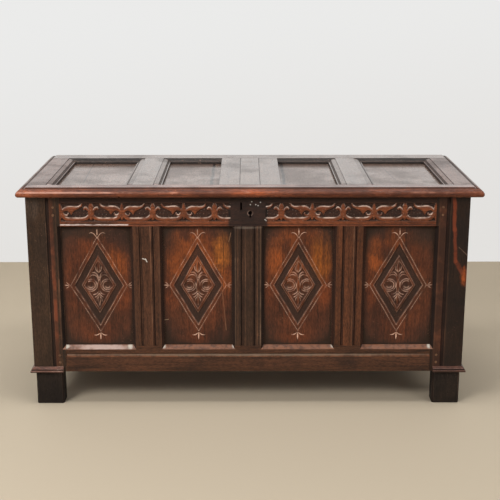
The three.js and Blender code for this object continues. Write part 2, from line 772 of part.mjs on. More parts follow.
// The thumbnail nose of the lid: a quirk below the top face, a long quarter curve and a rounded underside
function nosePoints() {
  const points = [[noseReach, 0], [noseReach, noseQuirkDepth]];
  const upperReach = noseReach - noseQuirkWidth;
  const middle = lidThickness - noseLowerRadius;
  for (let i = 0; i <= noseUpperSteps; i += 1) {
    const angle = quarterTurn * i / noseUpperSteps;
    points.push([upperReach * (1 - Math.sin(angle)), middle - (middle - noseQuirkDepth) * Math.cos(angle)]);
  }
  for (let i = 1; i <= noseLowerSteps; i += 1) {
    const angle = quarterTurn * i / noseLowerSteps;
    points.push([noseLowerRadius * (1 - Math.cos(angle)), middle + noseLowerRadius * Math.sin(angle)]);
  }
  return points;
}

// The lid in its own axes: x from its middle, y down from its top face, z back from the carcase's front
function lidSlab() {
  const nose = nosePoints();
  const frontToBack = [
    ...nose.map(([inward, depth]) => [depth, inward - lidFrontOverhang]),
    [lidThickness, lidBack],
    [0, lidBack],
  ];
  const endToEnd = [
    ...nose.map(([inward, depth]) => [inward - halfLid, depth]),
    ...nose.map(([inward, depth]) => [halfLid - inward, depth]).reverse(),
  ];
  return stock('x', shapeOf(frontToBack), -halfLid, halfLid)
    .intersect(stock('z', shapeOf(endToEnd), -lidFrontOverhang, lidBack));
}

const lidUprights = [
  { name: 'lid_end_stile_left', span: [-halfLid, -lidEndOpening], grooves: [1], moulded: [1] },
  { name: 'lid_muntin_left', span: [-lidMuntinCentre - lidMuntinHalf, -lidMuntinCentre + lidMuntinHalf],
    grooves: [-1, 1], moulded: [-1, 1] },
  { name: 'lid_filler_left', span: [-lidBlockHalf, -lidCentreMuntinWidth / 2 - gap], grooves: [-1],
    moulded: [] },
  { name: 'lid_muntin_centre', span: [-lidCentreMuntinWidth / 2, lidCentreMuntinWidth / 2], grooves: [],
    moulded: [] },
  { name: 'lid_filler_right', span: [lidCentreMuntinWidth / 2 + gap, lidBlockHalf], grooves: [1],
    moulded: [] },
  { name: 'lid_muntin_right', span: [lidMuntinCentre - lidMuntinHalf, lidMuntinCentre + lidMuntinHalf],
    grooves: [-1, 1], moulded: [-1, 1] },
  { name: 'lid_end_stile_right', span: [lidEndOpening, halfLid], grooves: [-1], moulded: [-1] },
];
const lidOpenings = [
  { span: [-lidEndOpening, -lidMuntinCentre - lidMuntinHalf], moulded: [-1, 1] },
  { span: [-lidMuntinCentre + lidMuntinHalf, -lidBlockHalf], moulded: [-1] },
  { span: [lidBlockHalf, lidMuntinCentre - lidMuntinHalf], moulded: [1] },
  { span: [lidMuntinCentre + lidMuntinHalf, lidEndOpening], moulded: [-1, 1] },
];

// The moulded sides of a lid opening: a quirk, an ovolo and a fillet, then the drop to the panel
function lidEdgePoints(edge, outward, moulded) {
  if (!moulded) {
    return [[edge, -overrun], [edge, lidPanelRecess]];
  }
  const outer = edge + outward * lidMouldingWidth;
  const points = [[outer, -overrun], [outer, lidQuirkDepth]];
  const run = lidMouldingWidth - lidFilletWidth;
  for (let i = 1; i <= lidOvoloSteps; i += 1) {
    const angle = quarterTurn * i / lidOvoloSteps;
    points.push([outer - outward * run * Math.sin(angle),
      lidQuirkDepth + (lidHollowDepth - lidQuirkDepth) * (1 - Math.cos(angle))]);
  }
  points.push([edge, lidHollowDepth], [edge, lidPanelRecess]);
  return points;
}

function lidMouldingCutter({ span, moulded }) {
  const left = lidEdgePoints(span[0], -1, moulded.includes(-1));
  const right = lidEdgePoints(span[1], 1, moulded.includes(1));
  const front = lidEdgePoints(lidFrontRailInner, -1, true);
  const back = lidEdgePoints(lidBackRailInner, 1, true);
  const turned = [...front, ...back.reverse()].map(([along, depth]) => [depth, along]);
  const reach = lidMouldingWidth + overrun;
  const across = stock('z', shapeOf([...left, ...right.reverse()]), lidFrontRailInner - reach,
    lidBackRailInner + reach);
  return across.intersect(stock('x', shapeOf(turned), span[0] - reach, span[1] + reach));
}

function lidRail(isBack, slab, mouldings) {
  const edge = isBack ? lidBackRailInner : lidFrontRailInner;
  const inward = isBack ? 1 : -1;
  const far = isBack ? lidBack : -lidFrontOverhang;
  const shoulder = edge + inward * lidMouldingWidth;
  const body = block([-halfLid, halfLid], [0, lidThickness], [edge, far]).intersect(slab);
  const groove = block([-lidEndOpening - grooveDepth, lidEndOpening + grooveDepth],
    [lidPanelRecess, lidPanelRecess + lidGrooveWidth],
    [edge - inward * overrun, edge + inward * grooveDepth]);
  const seats = lidUprights.flatMap((upright) => [
    block(lidFlatSpan(upright, gap), [-overrun, lidThickness + overrun],
      [edge - inward * overrun, shoulder]),
    block(lidTenonSpan(upright.span, gap), [lidPanelRecess, lidPanelRecess + lidGrooveWidth],
      [edge - inward * overrun, shoulder + inward * (lidTenonLength + gap)]),
  ]);
  return cutAll(body, [groove, ...seats, ...mouldings]);
}

// Between their mouldings the uprights run on over the rails' mouldings, to square shoulders
function lidFlatSpan({ span, moulded }, clearance) {
  const [left, right] = [-1, 1].map((side) => (moulded.includes(side) ? lidMouldingWidth : 0));
  const ends = span.map((x) => (Math.abs(x) === halfLid ? overrun : 0));
  return [span[0] + left - clearance - ends[0], span[1] - right + clearance + ends[1]];
}

// End stiles keep their tenons clear of the moulded nose
function lidTenonSpan([x0, x1], clearance) {
  const left = Math.max(x0 + lidTenonInset, noseReach - halfLid);
  const right = Math.min(x1 - lidTenonInset, halfLid - noseReach);
  return [left - clearance, right + clearance];
}

function lidUpright(upright, slab, mouldings) {
  const { span, grooves } = upright;
  const [x0, x1] = span;
  const front = lidFrontRailInner - lidMouldingWidth;
  const back = lidBackRailInner + lidMouldingWidth;
  let solid = block(span, [0, lidThickness], [lidFrontRailInner + gap, lidBackRailInner - gap]);
  solid = solid.add(block(lidFlatSpan(upright, 0), [0, lidThickness], [front + gap, back - gap]));
  solid = solid.intersect(slab).add(block(lidTenonSpan(span, 0),
    [lidPanelRecess + gap, lidPanelRecess + lidGrooveWidth - gap],
    [front - lidTenonLength, back + lidTenonLength]));
  const cutters = grooves.map((outward) => {
    const edge = outward < 0 ? x0 : x1;
    return block([edge + outward * overrun, edge - outward * grooveDepth],
      [lidPanelRecess, lidPanelRecess + lidGrooveWidth],
      [lidFrontRailInner - grooveDepth, lidBackRailInner + grooveDepth]);
  });
  return cutAll(solid, [...cutters, ...mouldings]);
}

function lidPanel({ span }) {
  return fieldedPanel(span, [lidFrontRailInner, lidBackRailInner], lidPanelRecess, lidPanelThickness,
    lidPanelEdgeThickness);
}

// The seat of a hinge in the underside of the lid's back rail, and the seat of the lock's staple
function lidHingeSeat(centreX) {
  const x = centreX - lidShift;
  return block([x - hingeWidth / 2 - gap, x + hingeWidth / 2 + gap],
    [lidThickness - hingeLeafThickness - gap, lidThickness + overrun],
    [hingeAxisY - hingeStrapLength - gap, lidBack + overrun]);
}

const stapleX = keyholeX + guideInset + stapleThickness;
const stapleY = frameThickness + gap + (lockDepth - lockWall) / 2;

function lidStapleSeat() {
  const x = stapleX - lidShift;
  return block([x - staplePlateLength / 2 - gap, x + staplePlateLength / 2 + gap],
    [lidThickness - staplePlateThickness - gap, lidThickness + overrun],
    [stapleY - staplePlateWidth / 2 - gap, stapleY + staplePlateWidth / 2 + gap]);
}

// Hinge knuckles: the outer two belong to the plate on the carcase, the middle one to the lid's strap
function knuckle(index, centreX) {
  const pitch = hingeWidth / knuckleCount;
  const start = centreX - hingeWidth / 2 + index * pitch;
  const bore = hingePinRadius + gap;
  const middle = (knuckleCount - 1) / 2;
  const [from, to] = index === middle ? [start + gap, start + pitch - gap] : [start, start + pitch];
  return cylinderAlong('x', knuckleRadius, from, to, [hingeAxisY, hingeAxisZ], hingeSegments)
    .subtract(cylinderAlong('x', bore, from - overrun, to + overrun, [hingeAxisY, hingeAxisZ],
      hingeSegments));
}

function boreSpace(centreX) {
  return cylinderAlong('x', hingePinRadius + gap, centreX - hingeWidth, centreX + hingeWidth,
    [hingeAxisY, hingeAxisZ], hingeSegments);
}

function middleSpace(centreX, clearance) {
  const reach = hingeWidth / knuckleCount / 2 + clearance;
  const around = knuckleRadius + clearance + gap;
  return block([centreX - reach, centreX + reach], [hingeAxisY - around, hingeAxisY + around],
    [hingeAxisZ - around, hingeAxisZ + around]);
}

function hingePlate(centreX) {
  const front = hingeAxisY - knuckleRadius;
  const across = [centreX - hingeWidth / 2, centreX + hingeWidth / 2];
  const leaf = block(across, [front, front + hingeLeafThickness],
    [hingeAxisZ - hingePlateLength, hingeAxisZ]).subtract(middleSpace(centreX, gap));
  return union([leaf, knuckle(0, centreX), knuckle(2, centreX)]).subtract(boreSpace(centreX));
}

function hingeStrap(centreX) {
  const top = hingeAxisZ + knuckleRadius;
  const clear = hingeAxisY - knuckleRadius - hingeLeafThickness;
  const leaf = block([centreX - hingeWidth / 2, centreX + hingeWidth / 2],
    [hingeAxisY - hingeStrapLength, clear], [top - hingeLeafThickness, top]);
  const reach = hingeWidth / knuckleCount / 2 - gap;
  const neck = block([centreX - reach, centreX + reach], [clear, hingeAxisY],
    [top - hingeLeafThickness, top]);
  return union([leaf, neck, knuckle(1, centreX)]).subtract(boreSpace(centreX));
}

function hingePin(centreX) {
  return cylinderAlong('x', hingePinRadius, centreX - hingeWidth / 2, centreX + hingeWidth / 2,
    [hingeAxisY, hingeAxisZ], hingeSegments);
}

// The lock: an iron case behind the keyhole, open to the wood, with two guides that carry the bolt
const lockBack = frameThickness + gap;
const boltTop = lockTop - boltDrop;
const guideNear = keyholeX + guideInset - guideWidth - stapleThickness / 2;
const boltNose = guideNear + guideWidth + gap + stapleThickness / 4;

function lockCase() {
  const x0 = keyholeX - lockLength / 2;
  const x1 = keyholeX + lockLength / 2;
  const z0 = lockTop - lockHeight;
  let solid = block([x0, x1], [lockBack, lockBack + lockDepth], [z0, lockTop]);
  const flange = block([x0 - lockFlange, x1 + lockFlange], [lockBack, lockBack + lockWall], [z0, lockTop]);
  solid = solid.add(flange);
  solid = solid.subtract(block([x0 + lockWall, x1 - lockWall],
    [lockBack - overrun, lockBack + lockDepth - lockWall], [z0 + lockWall, lockTop - lockWall]));
  const guides = [guideNear, guideNear - guideSpacing].map((x) => block([x, x + guideWidth],
    [lockBack, lockBack + lockDepth - lockWall / 2], [z0 + lockWall / 2, lockTop - lockWall / 2]));
  const window = block([x0 + 2 * lockWall, x1 - 2 * lockWall],
    [stapleY - boltThickness / 2 - gap, stapleY + boltThickness / 2 + gap],
    [boltTop - boltHeight - gap, boltTop + gap]);
  const slotReach = stapleThickness / 2 + gap + lockWall / 2;
  const stapleSlot = block([stapleX - slotReach, stapleX + slotReach],
    [lockBack - overrun, lockBack + lockDepth - lockWall], [lockTop - 2 * lockWall, lockTop + overrun]);
  return cutAll(union([solid, ...guides]), [window, stapleSlot]);
}

function lockBolt() {
  return block([boltNose - boltLength + boltTailLength / 2, boltNose],
    [stapleY - boltThickness / 2, stapleY + boltThickness / 2], [boltTop - boltHeight, boltTop]);
}

// The staple hangs from the lid, and its loop takes the bolt
function lockStaple() {
  const plateBottom = lidUnderside;
  const plate = block([stapleX - staplePlateLength / 2, stapleX + staplePlateLength / 2],
    [stapleY - staplePlateWidth / 2, stapleY + staplePlateWidth / 2],
    [plateBottom, plateBottom + staplePlateThickness]);
  const outer = boltThickness / 2 + stapleLegWidth;
  const holeBottom = boltTop - boltHeight - (stapleLoopHeight - boltHeight) / 2;
  const loop = block([stapleX - stapleThickness / 2, stapleX + stapleThickness / 2],
    [stapleY - outer, stapleY + outer], [holeBottom - stapleLegWidth, plateBottom + staplePlateThickness]);
  const hole = block([stapleX - overrun, stapleX + overrun],
    [stapleY - boltThickness / 2 - gap, stapleY + boltThickness / 2 + gap],
    [holeBottom, holeBottom + stapleLoopHeight]);
  return plate.add(loop.subtract(hole));
}

// Build every piece and place the frames round the carcase
const chest = new THREE.Group();
const carcase = new THREE.Group();
const lid = new THREE.Group();
chest.add(carcase, lid);
chest.position.set(-lidShift, -(lidBack - lidFrontOverhang) / 2, 0);

function addFrame(matrix, meshes) {
  const group = new THREE.Group();
  group.applyMatrix4(matrix);
  group.add(...meshes);
  carcase.add(group);
}

const frontPanelNames = ['panel_front_outer_left', 'panel_front_inner_left', 'panel_front_inner_right',
  'panel_front_outer_right'];
const frontMuntinNames = ['muntin_front_left', 'muntin_front_centre', 'muntin_front_right'];
addFrame(framePlaces.front, [
  meshOf('rail_front_top', frontTopRail(), redOak),
  meshOf('rail_front_bottom', bottomRail(frames.front), redOak),
  ...muntinEdges(frames.front).map((edges, i) => meshOf(frontMuntinNames[i],
    mouldedMuntin(frames.front, edges), redOak)),
  ...openings(frames.front).map((opening, i) => meshOf(frontPanelNames[i], lozengePanel(opening), panelOak)),
]);

const sidePanelNames = {
  left: ['panel_left_rear', 'panel_left_fore'],
  right: ['panel_right_fore', 'panel_right_rear'],
};
for (const side of ['left', 'right']) {
  addFrame(framePlaces[side], [
    meshOf(`rail_${side}_top`, plainTopRail(frames.side), redOak),
    meshOf(`rail_${side}_bottom`, bottomRail(frames.side), redOak),
    ...muntinEdges(frames.side).map((edges) => meshOf(`muntin_${side}`, muntin(frames.side, edges), redOak)),
    ...openings(frames.side).map((opening, i) => meshOf(sidePanelNames[side][i], plainPanel(opening),
      panelOak)),
  ]);
}

const backPanelNames = ['panel_back_right', 'panel_back_centre', 'panel_back_left'];
const backMuntinNames = ['muntin_back_right', 'muntin_back_left'];
addFrame(framePlaces.back, [
  meshOf('rail_back_top', plainTopRail(frames.back), innerOak),
  meshOf('rail_back_bottom', bottomRail(frames.back), innerOak),
  ...muntinEdges(frames.back).map((edges, i) => meshOf(backMuntinNames[i], muntin(frames.back, edges),
    innerOak)),
  ...openings(frames.back).map((opening, i) => meshOf(backPanelNames[i], plainPanel(opening), innerOak)),
]);

for (const [side, word] of [[-1, 'left'], [1, 'right']]) {
  carcase.add(
    meshOf(`stile_front_${word}`, frontStile(side), darkOak),
    meshOf(`stile_back_${word}`, stile(side, true), darkOak),
    meshOf(`foot_front_${word}`, foot(side), footOak),
    meshOf(`foot_collar_${word}`, footCollar(side), redOak),
    meshOf(`hinge_plate_${word}`, hingePlate(side * hingeX), iron),
    meshOf(`hinge_pin_${word}`, hingePin(side * hingeX), iron),
  );
  lid.add(meshOf(`hinge_strap_${word}`, hingeStrap(side * hingeX), iron));
}
for (let i = 0; i < floorBoardCount; i += 1) {
  carcase.add(meshOf(`floor_board_${i + 1}`, floorBoard(i), innerOak));
}
carcase.add(
  meshOf('lock_case', lockCase(), iron),
  meshOf('lock_bolt', lockBolt(), iron),
);
lid.add(meshOf('lock_staple', lockStaple(), iron));

const lidFrame = new THREE.Group();
lidFrame.position.set(lidShift, 0, lidTop);
lidFrame.rotation.x = -quarterTurn;
const slab = lidSlab();
const mouldings = lidOpenings.map(lidMouldingCutter);
const lidPanelNames = ['lid_panel_outer_left', 'lid_panel_inner_left', 'lid_panel_inner_right',
  'lid_panel_outer_right'];
lidFrame.add(
  meshOf('lid_rail_front', lidRail(false, slab, mouldings).subtract(lidStapleSeat()), lidOak),
  meshOf('lid_rail_back', cutAll(lidRail(true, slab, mouldings),
    [-1, 1].map((side) => lidHingeSeat(side * hingeX))), lidOak),
  ...lidUprights.map((upright) => meshOf(upright.name, lidUpright(upright, slab, mouldings)
    .subtract(lidStapleSeat()), lidOak)),
  ...lidOpenings.map((opening, i) => meshOf(lidPanelNames[i], lidPanel(opening), lidOak)),
);
lid.add(lidFrame);

export default chest;
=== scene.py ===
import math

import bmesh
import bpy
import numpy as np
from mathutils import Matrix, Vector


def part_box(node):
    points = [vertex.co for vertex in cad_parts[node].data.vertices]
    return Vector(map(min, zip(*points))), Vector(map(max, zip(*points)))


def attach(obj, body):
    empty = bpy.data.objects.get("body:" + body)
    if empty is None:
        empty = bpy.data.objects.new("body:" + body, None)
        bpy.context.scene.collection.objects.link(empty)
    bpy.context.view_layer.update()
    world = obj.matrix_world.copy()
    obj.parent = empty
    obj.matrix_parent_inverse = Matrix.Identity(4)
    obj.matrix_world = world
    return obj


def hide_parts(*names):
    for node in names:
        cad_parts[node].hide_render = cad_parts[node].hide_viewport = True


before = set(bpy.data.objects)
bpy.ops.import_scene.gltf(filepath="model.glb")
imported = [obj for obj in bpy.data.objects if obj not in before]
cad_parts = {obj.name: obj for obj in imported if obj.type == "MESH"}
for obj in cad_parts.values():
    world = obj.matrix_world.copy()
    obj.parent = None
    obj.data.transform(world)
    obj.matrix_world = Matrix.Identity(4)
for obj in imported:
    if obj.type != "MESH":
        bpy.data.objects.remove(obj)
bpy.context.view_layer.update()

# %% [markdown]
# The frame of this scene is a solid model of an oak coffer chest: a box of stiles, rails and muntins
# with loose panels in grooves, under a panelled lid. Each timber is already a piece of its own, in its
# right place. Blender adds what a cabinet maker would call the surface: eased edges, carving, grain,
# polish and the dirt of long use. Sizes below are written in millimetres through one helper,
# because that is how a joiner reads them.


def mm(size):
    """Millimetres as metres."""
    return size / 1000


left_stile, right_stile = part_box("stile_front_left"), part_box("stile_front_right")
front_y = left_stile[0].y
middle_x = (left_stile[0].x + right_stile[1].x) / 2
half_length = (right_stile[1].x - left_stile[0].x) / 2
span_x = (left_stile[1].x, right_stile[0].x)
opening_z = (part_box("rail_front_bottom")[1].z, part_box("rail_front_top")[0].z)
carcase_top = left_stile[1].z
clearance = mm(0.3)
print("front plane", round(front_y, 4), "clear width", round(span_x[1] - span_x[0], 4))

# %% [markdown]
# The camera stands a little above the lid and looks down by about fifteen degrees, as the photograph
# does. Its field of view was worked out from the known shape of the chest: the width of the front, the
# depth of the lid and the height of the feet all have to fall into place together.

# %% Camera
scene = bpy.context.scene
scene.view_settings.view_transform = "Standard"
picture_width = 500
focal_pixels = 1058
sensor_width = 36.0

camera_data = bpy.data.cameras.new("camera")
camera_data.sensor_width = sensor_width
camera_data.lens = focal_pixels / picture_width * sensor_width
camera = bpy.data.objects.new("camera", camera_data)
camera.location = (mm(-12), mm(-3342), mm(1336))
camera_pitch = math.radians(90 - 15.19)
camera_turn = math.radians(-0.22)
camera.rotation_euler = (camera_pitch, 0.0, camera_turn)
scene.collection.objects.link(camera)
scene.camera = camera
print("lens", round(camera_data.lens, 1), "mm")

# %% [markdown]
# Every finish below is a tree of shader nodes. These short helpers place a node, feed its sockets and
# give back the socket that the next node needs, so that a recipe reads from top to bottom like a
# polisher's notes.

# %% Colours and nodes
def paint(red, green, blue, share=1.0):
    """A colour read off a screen, 0 to 255, as Blender's linear colour; the share darkens it."""
    values = [channel * share / 255 for channel in (red, green, blue)]
    linear = [v / 12.92 if v <= 0.04045 else ((v + 0.055) / 1.055) ** 2.4 for v in values]
    return (*linear, 1.0)


def is_socket(value):
    return isinstance(value, bpy.types.NodeSocket)


def fed(made, inputs):
    """Links or sets each named or numbered input of a node, and gives the node back."""
    for key, value in inputs.items():
        if is_socket(value):
            made.id_data.links.new(value, made.inputs[key])
        else:
            made.inputs[key].default_value = value
    return made


def add(tree, kind, inputs=None, **settings):
    made = tree.nodes.new(kind)
    for name, value in settings.items():
        setattr(made, name, value)
    return fed(made, inputs or {})


def join(kind, inputs, **settings):
    """A node in the same tree as the sockets that feed it."""
    tree = next(value.id_data for value in inputs.values() if is_socket(value))
    return add(tree, kind, inputs, **settings)


print("middle grey is", round(paint(128, 128, 128)[0], 3), "in linear light")

# %% [markdown]
# Masks are products, sums and soft steps, and a finish is a stack of tints, each let through by its
# masks. Such a stack can be read and reordered like coats of paint, which is harder in a web of nodes
# that was drawn by hand.

# %% Masks and layers
def maths(operation, first, second=0.0, third=0.0, **settings):
    return join("ShaderNodeMath", {0: first, 1: second, 2: third}, operation=operation,
                **settings).outputs[0]


def times(first, *others):
    """The product of masks and numbers."""
    for other in others:
        first = maths("MULTIPLY", first, other)
    return first


def scaled(value, factor, shift):
    return maths("MULTIPLY_ADD", value, factor, shift)


def vectors(operation, first, second=(0, 0, 0)):
    made = join("ShaderNodeVectorMath", {0: first, 1: second}, operation=operation)
    return made.outputs["Value" if operation in ("LENGTH", "DOT_PRODUCT") else "Vector"]


def faded(value, low, high, start=0.0, end=1.0):
    """A soft step: start below low, end above high."""
    return join("ShaderNodeMapRange", {0: value, 1: low, 2: high, 3: start, 4: end},
                interpolation_type="SMOOTHSTEP").outputs[0]


def mixed(share, first, second):
    """Two colours mixed by a mask."""
    return join("ShaderNodeMix", {0: share, 6: first, 7: second}, data_type="RGBA").outputs[2]


def layered(color, *layers):
    """Tints laid over a colour one after another; a tint is followed by the masks that limit it."""
    for tint, *masks in layers:
        color = mixed(times(*masks), color, tint)
    return color


def noise(place, stretch, board=0.0, detail=3.0, rough=0.55):
    """Noise that is drawn out by its stretch: a small number along an axis makes long marks there."""
    drawn = vectors("MULTIPLY", place, stretch)
    return join("ShaderNodeTexNoise", {"Vector": drawn, "W": board, "Scale": 1.0, "Detail": detail,
                                       "Roughness": rough}, noise_dimensions="4D").outputs[0]


print("masks: maths, times, scaled, vectors, faded, noise; colours: mixed, layered")

# %% [markdown]
# A node group is built once and placed in many materials. Its inputs have names, so every timber can
# hand in values of its own.

# %% Groups and materials
def new_group(name, inputs, outputs):
    """An empty node group with named sockets, with its inner input and output sockets."""
    tree = bpy.data.node_groups.new(name, "ShaderNodeTree")
    for label, value in inputs.items():
        kind = "NodeSocketVector" if isinstance(value, tuple) else "NodeSocketFloat"
        tree.interface.new_socket(label, in_out="INPUT", socket_type=kind).default_value = value
    for label in outputs:
        tree.interface.new_socket(label, in_out="OUTPUT", socket_type="NodeSocketFloat")
    return tree, tree.nodes.new("NodeGroupInput").outputs, tree.nodes.new("NodeGroupOutput").inputs


def placed(group, **inputs):
    """A group put into the material of its Place socket; gives back the group's outputs."""
    made = inputs["Place"].id_data.nodes.new("ShaderNodeGroup")
    made.node_tree = group
    return fed(made, inputs).outputs


def new_material(name):
    material = bpy.data.materials.new(name)
    material.use_nodes = True
    return material, material.node_tree, material.node_tree.nodes["Principled BSDF"].inputs


print("materials so far", len(bpy.data.materials))

# %% [markdown]
# A plain pale floor and a wall stand in for the studio. The wall is not only a background: the waxed lid
# is seen at a low angle, so most of its colour is the wall's reflection. So for the camera, and for
# anything glossy, the wall glows with a pale colour of its own, painted a little darker towards the
# bottom and the right, while for all other light it is an ordinary matt wall. Its back is clear, so that
# the chest can be looked at from behind as well.

# %% Floor, wall and sky
shade_slant, shade_height = 0.12, 1.3


def seen_directly(tree):
    """1 for a look from the camera or off a shiny surface, 0 for light that only fills the room."""
    rays = add(tree, "ShaderNodeLightPath").outputs
    seen = maths("MAXIMUM", rays["Is Camera Ray"], rays["Is Glossy Ray"])
    return maths("MAXIMUM", seen, rays["Is Transmission Ray"])


def studio_sheet(name, corners, material):
    mesh = bpy.data.meshes.new(name)
    mesh.from_pydata(corners, [], [(0, 1, 2, 3)])
    mesh.materials.append(material)
    sheet = bpy.data.objects.new(name, mesh)
    scene.collection.objects.link(sheet)


def wall_paint():
    """Matt white for light; for the eye a glowing pale colour, painted a little darker towards the bottom
    and the right; nothing at all from behind.
    """
    material, tree, surface = new_material("studio_wall")
    surface["Base Color"].default_value = paint(226, 225, 222)
    surface["Roughness"].default_value = 0.9
    here = add(tree, "ShaderNodeTexCoord").outputs["Object"]
    across, _, up = join("ShaderNodeSeparateXYZ", {0: here}).outputs
    height = faded(maths("SUBTRACT", up, times(across, shade_slant)), 0.0, shade_height)
    shade = mixed(height, paint(227, 225, 222), paint(235, 235, 234))
    glow = join("ShaderNodeEmission", {"Color": shade}).outputs[0]
    matt = surface["Base Color"].node.outputs[0]
    front = join("ShaderNodeMixShader", {0: seen_directly(tree), 1: matt, 2: glow}).outputs[0]
    behind = add(tree, "ShaderNodeNewGeometry").outputs["Backfacing"]
    clear = add(tree, "ShaderNodeBsdfTransparent").outputs[0]
    whole = join("ShaderNodeMixShader", {0: behind, 1: front, 2: clear}).outputs[0]
    tree.links.new(whole, tree.nodes["Material Output"].inputs["Surface"])
    return material


half_room, wall_y, wall_height = 12.0, 1.37, 6.0
floor_paint, _, floor_surface = new_material("studio_floor")
floor_surface["Base Color"].default_value = paint(182, 168, 146)
floor_surface["Roughness"].default_value = 0.75
studio_sheet("studio_floor", [(-half_room, -half_room, 0), (half_room, -half_room, 0),
                              (half_room, half_room, 0), (-half_room, half_room, 0)], floor_paint)
studio_sheet("studio_wall", [(-half_room, wall_y, 0), (half_room, wall_y, 0),
                             (half_room, wall_y, wall_height), (-half_room, wall_y, wall_height)],
             wall_paint())

sky_for_light, sky_for_eye = 0.34, 0.8
world = bpy.data.worlds.new("studio")
scene.world = world
world.use_nodes = True
sky = world.node_tree
looks = add(sky, "ShaderNodeLightPath").outputs["Is Camera Ray"]
strength = scaled(looks, sky_for_eye - sky_for_light, sky_for_light)
fed(sky.nodes["Background"], {"Color": (0.97, 0.98, 1.0, 1.0), "Strength": strength})
print("wall", round(wall_y - front_y, 2), "m behind the front of the chest")

# %% [markdown]
# One soft lamp stands high on the left like a window, a weaker one fills from the right, and a long one
# hangs above. The lamps are bright but not huge, because an old wax polish shows itself in small crisp
# lights along every rounded edge. Together they light the front so that a colour renders about as it
# is written.

# %% Lamps
def soft_lamp(name, place, size, power, target=(0.0, 0.0, 0.4)):
    data = bpy.data.lights.new(name, "AREA")
    data.shape = "RECTANGLE"
    data.size, data.size_y = size
    data.energy = power
    lamp = bpy.data.objects.new(name, data)
    lamp.location = place
    aim = Vector(target) - Vector(place)
    lamp.rotation_euler = aim.to_track_quat("-Z", "Y").to_euler()
    scene.collection.objects.link(lamp)


soft_lamp("window_lamp", (-2.1, -2.5, 2.5), (1.5, 1.0), 82)
soft_lamp("fill_lamp", (2.6, -2.5, 1.9), (1.8, 1.2), 32)
soft_lamp("top_lamp", (0.0, -0.5, 3.3), (3.0, 0.7), 60)
print("lamps", len(bpy.data.lights))

# %% [markdown]
# Oak is told by three things: broad figure that runs along the board, fine dark pores between the
# growth rings, and, on boards split through the heart, pale flecks that lie across the grain. Fine lines
# and a short tooth roughen what lies between. A scanned board would bring its own stains with it, so one
# node group makes all five from noise that is drawn out along the board. Its Board input shifts the
# noise, so that no two timbers match.

# %% Oak grain as a node group
origin = (0.0, 0.0, 0.0)
grain_sway = mm(24)
grain_group, given, result = new_group(
    "oak_grain", {"Place": origin, "Board": 0.0}, ["Figure", "Lines", "Pores", "Flecks", "Tooth"])
place, board = given["Place"], given["Board"]
sway = times(noise(place, (3.0, 9.0, 9.0), board, 1.0), grain_sway)
swayed = vectors("ADD", place, join("ShaderNodeCombineXYZ", {1: sway, 2: sway}).outputs[0])
for label, base, along, across, detail, rough, low, high in (
        ("Figure", swayed, 3.2, (40.0, 40.0), 3.0, 0.55, 0.32, 0.68),
        ("Lines", swayed, 7.0, (170.0, 170.0), 3.0, 0.7, 0.36, 0.64),
        ("Pores", swayed, 60.0, (900.0, 900.0), 1.0, 0.55, 0.56, 0.7),
        ("Flecks", place, 150.0, (42.0, 60.0), 1.0, 0.55, 0.6, 0.74),
        ("Tooth", place, 90.0, (330.0, 330.0), 1.0, 0.55, 0.36, 0.64)):
    pattern = noise(base, (along, *across), board, detail, rough)
    grain_group.links.new(faded(pattern, low, high), result[label])
print("grain group with", len(grain_group.nodes), "nodes")

# %% [markdown]
# Age and light are uneven, so three more groups put them where they belong. Clouds are soft and
# shapeless, for grime and wear. A patch is a soft, ragged oval around a chosen place, for a worn spot and
# for patches of painted sheen and shade. A split is a thin wandering line between two places, for a
# shrinkage crack or a scratch, and for a few painted lines of highlight and shadow.

# %% Clouds, patches and splits as node groups
cloud_top, cloud_softness = 0.88, 0.24
cloud_group, given, result = new_group(
    "clouds", {"Place": origin, "Board": 0.0, "Size": 9.0, "Amount": 0.5}, ["Mask"])
spread = join("ShaderNodeTexNoise", {"Vector": given["Place"], "W": given["Board"],
                                     "Scale": given["Size"], "Detail": 3.0, "Roughness": 0.6},
              noise_dimensions="4D").outputs[0]
start = maths("SUBTRACT", cloud_top, given["Amount"])
cloud_group.links.new(faded(spread, start, maths("ADD", start, cloud_softness)), result["Mask"])

patch_group, given, result = new_group(
    "soft_patch", {"Place": origin, "Centre": origin, "Reach": (0.1, 0.1, 0.1), "Ragged": 0.3}, ["Mask"])
away = vectors("DIVIDE", vectors("SUBTRACT", given["Place"], given["Centre"]), given["Reach"])
ragged_edge = join("ShaderNodeTexNoise", {"Vector": given["Place"], "Scale": 34.0, "Detail": 4.0,
                                          "Roughness": 0.65}).outputs[0]
shifted = scaled(maths("SUBTRACT", ragged_edge, 0.5), times(given["Ragged"], 2.4),
                 vectors("LENGTH", away))
patch_group.links.new(faded(shifted, 0.3, 1.1, 1.0, 0.0), result["Mask"])

split_group, given, result = new_group(
    "split_line", {"Place": origin, "Start": origin, "End": (0.1, 0.0, 0.0), "Width": 0.001}, ["Mask"])


def evenly(value):
    """One number as all three parts of a vector."""
    return join("ShaderNodeCombineXYZ", {0: value, 1: value, 2: value}).outputs[0]


wander = join("ShaderNodeTexNoise", {"Vector": given["Place"], "Scale": 24.0}).outputs[1]
strayed = vectors("MULTIPLY", vectors("SUBTRACT", wander, (0.5, 0.5, 0.5)),
                  evenly(times(given["Width"], 1.6)))
along = vectors("SUBTRACT", given["End"], given["Start"])
offset = vectors("SUBTRACT", vectors("ADD", given["Place"], strayed), given["Start"])
share = maths("DIVIDE", vectors("DOT_PRODUCT", offset, along), vectors("DOT_PRODUCT", along, along),
              use_clamp=True)
nearest = vectors("MULTIPLY", along, evenly(share))
distance = vectors("LENGTH", vectors("SUBTRACT", offset, nearest))
split_group.links.new(faded(maths("DIVIDE", distance, given["Width"]), 0.35, 1.0, 1.0, 0.0),
                      result["Mask"])
print("age groups:", cloud_group.name, patch_group.name, split_group.name)
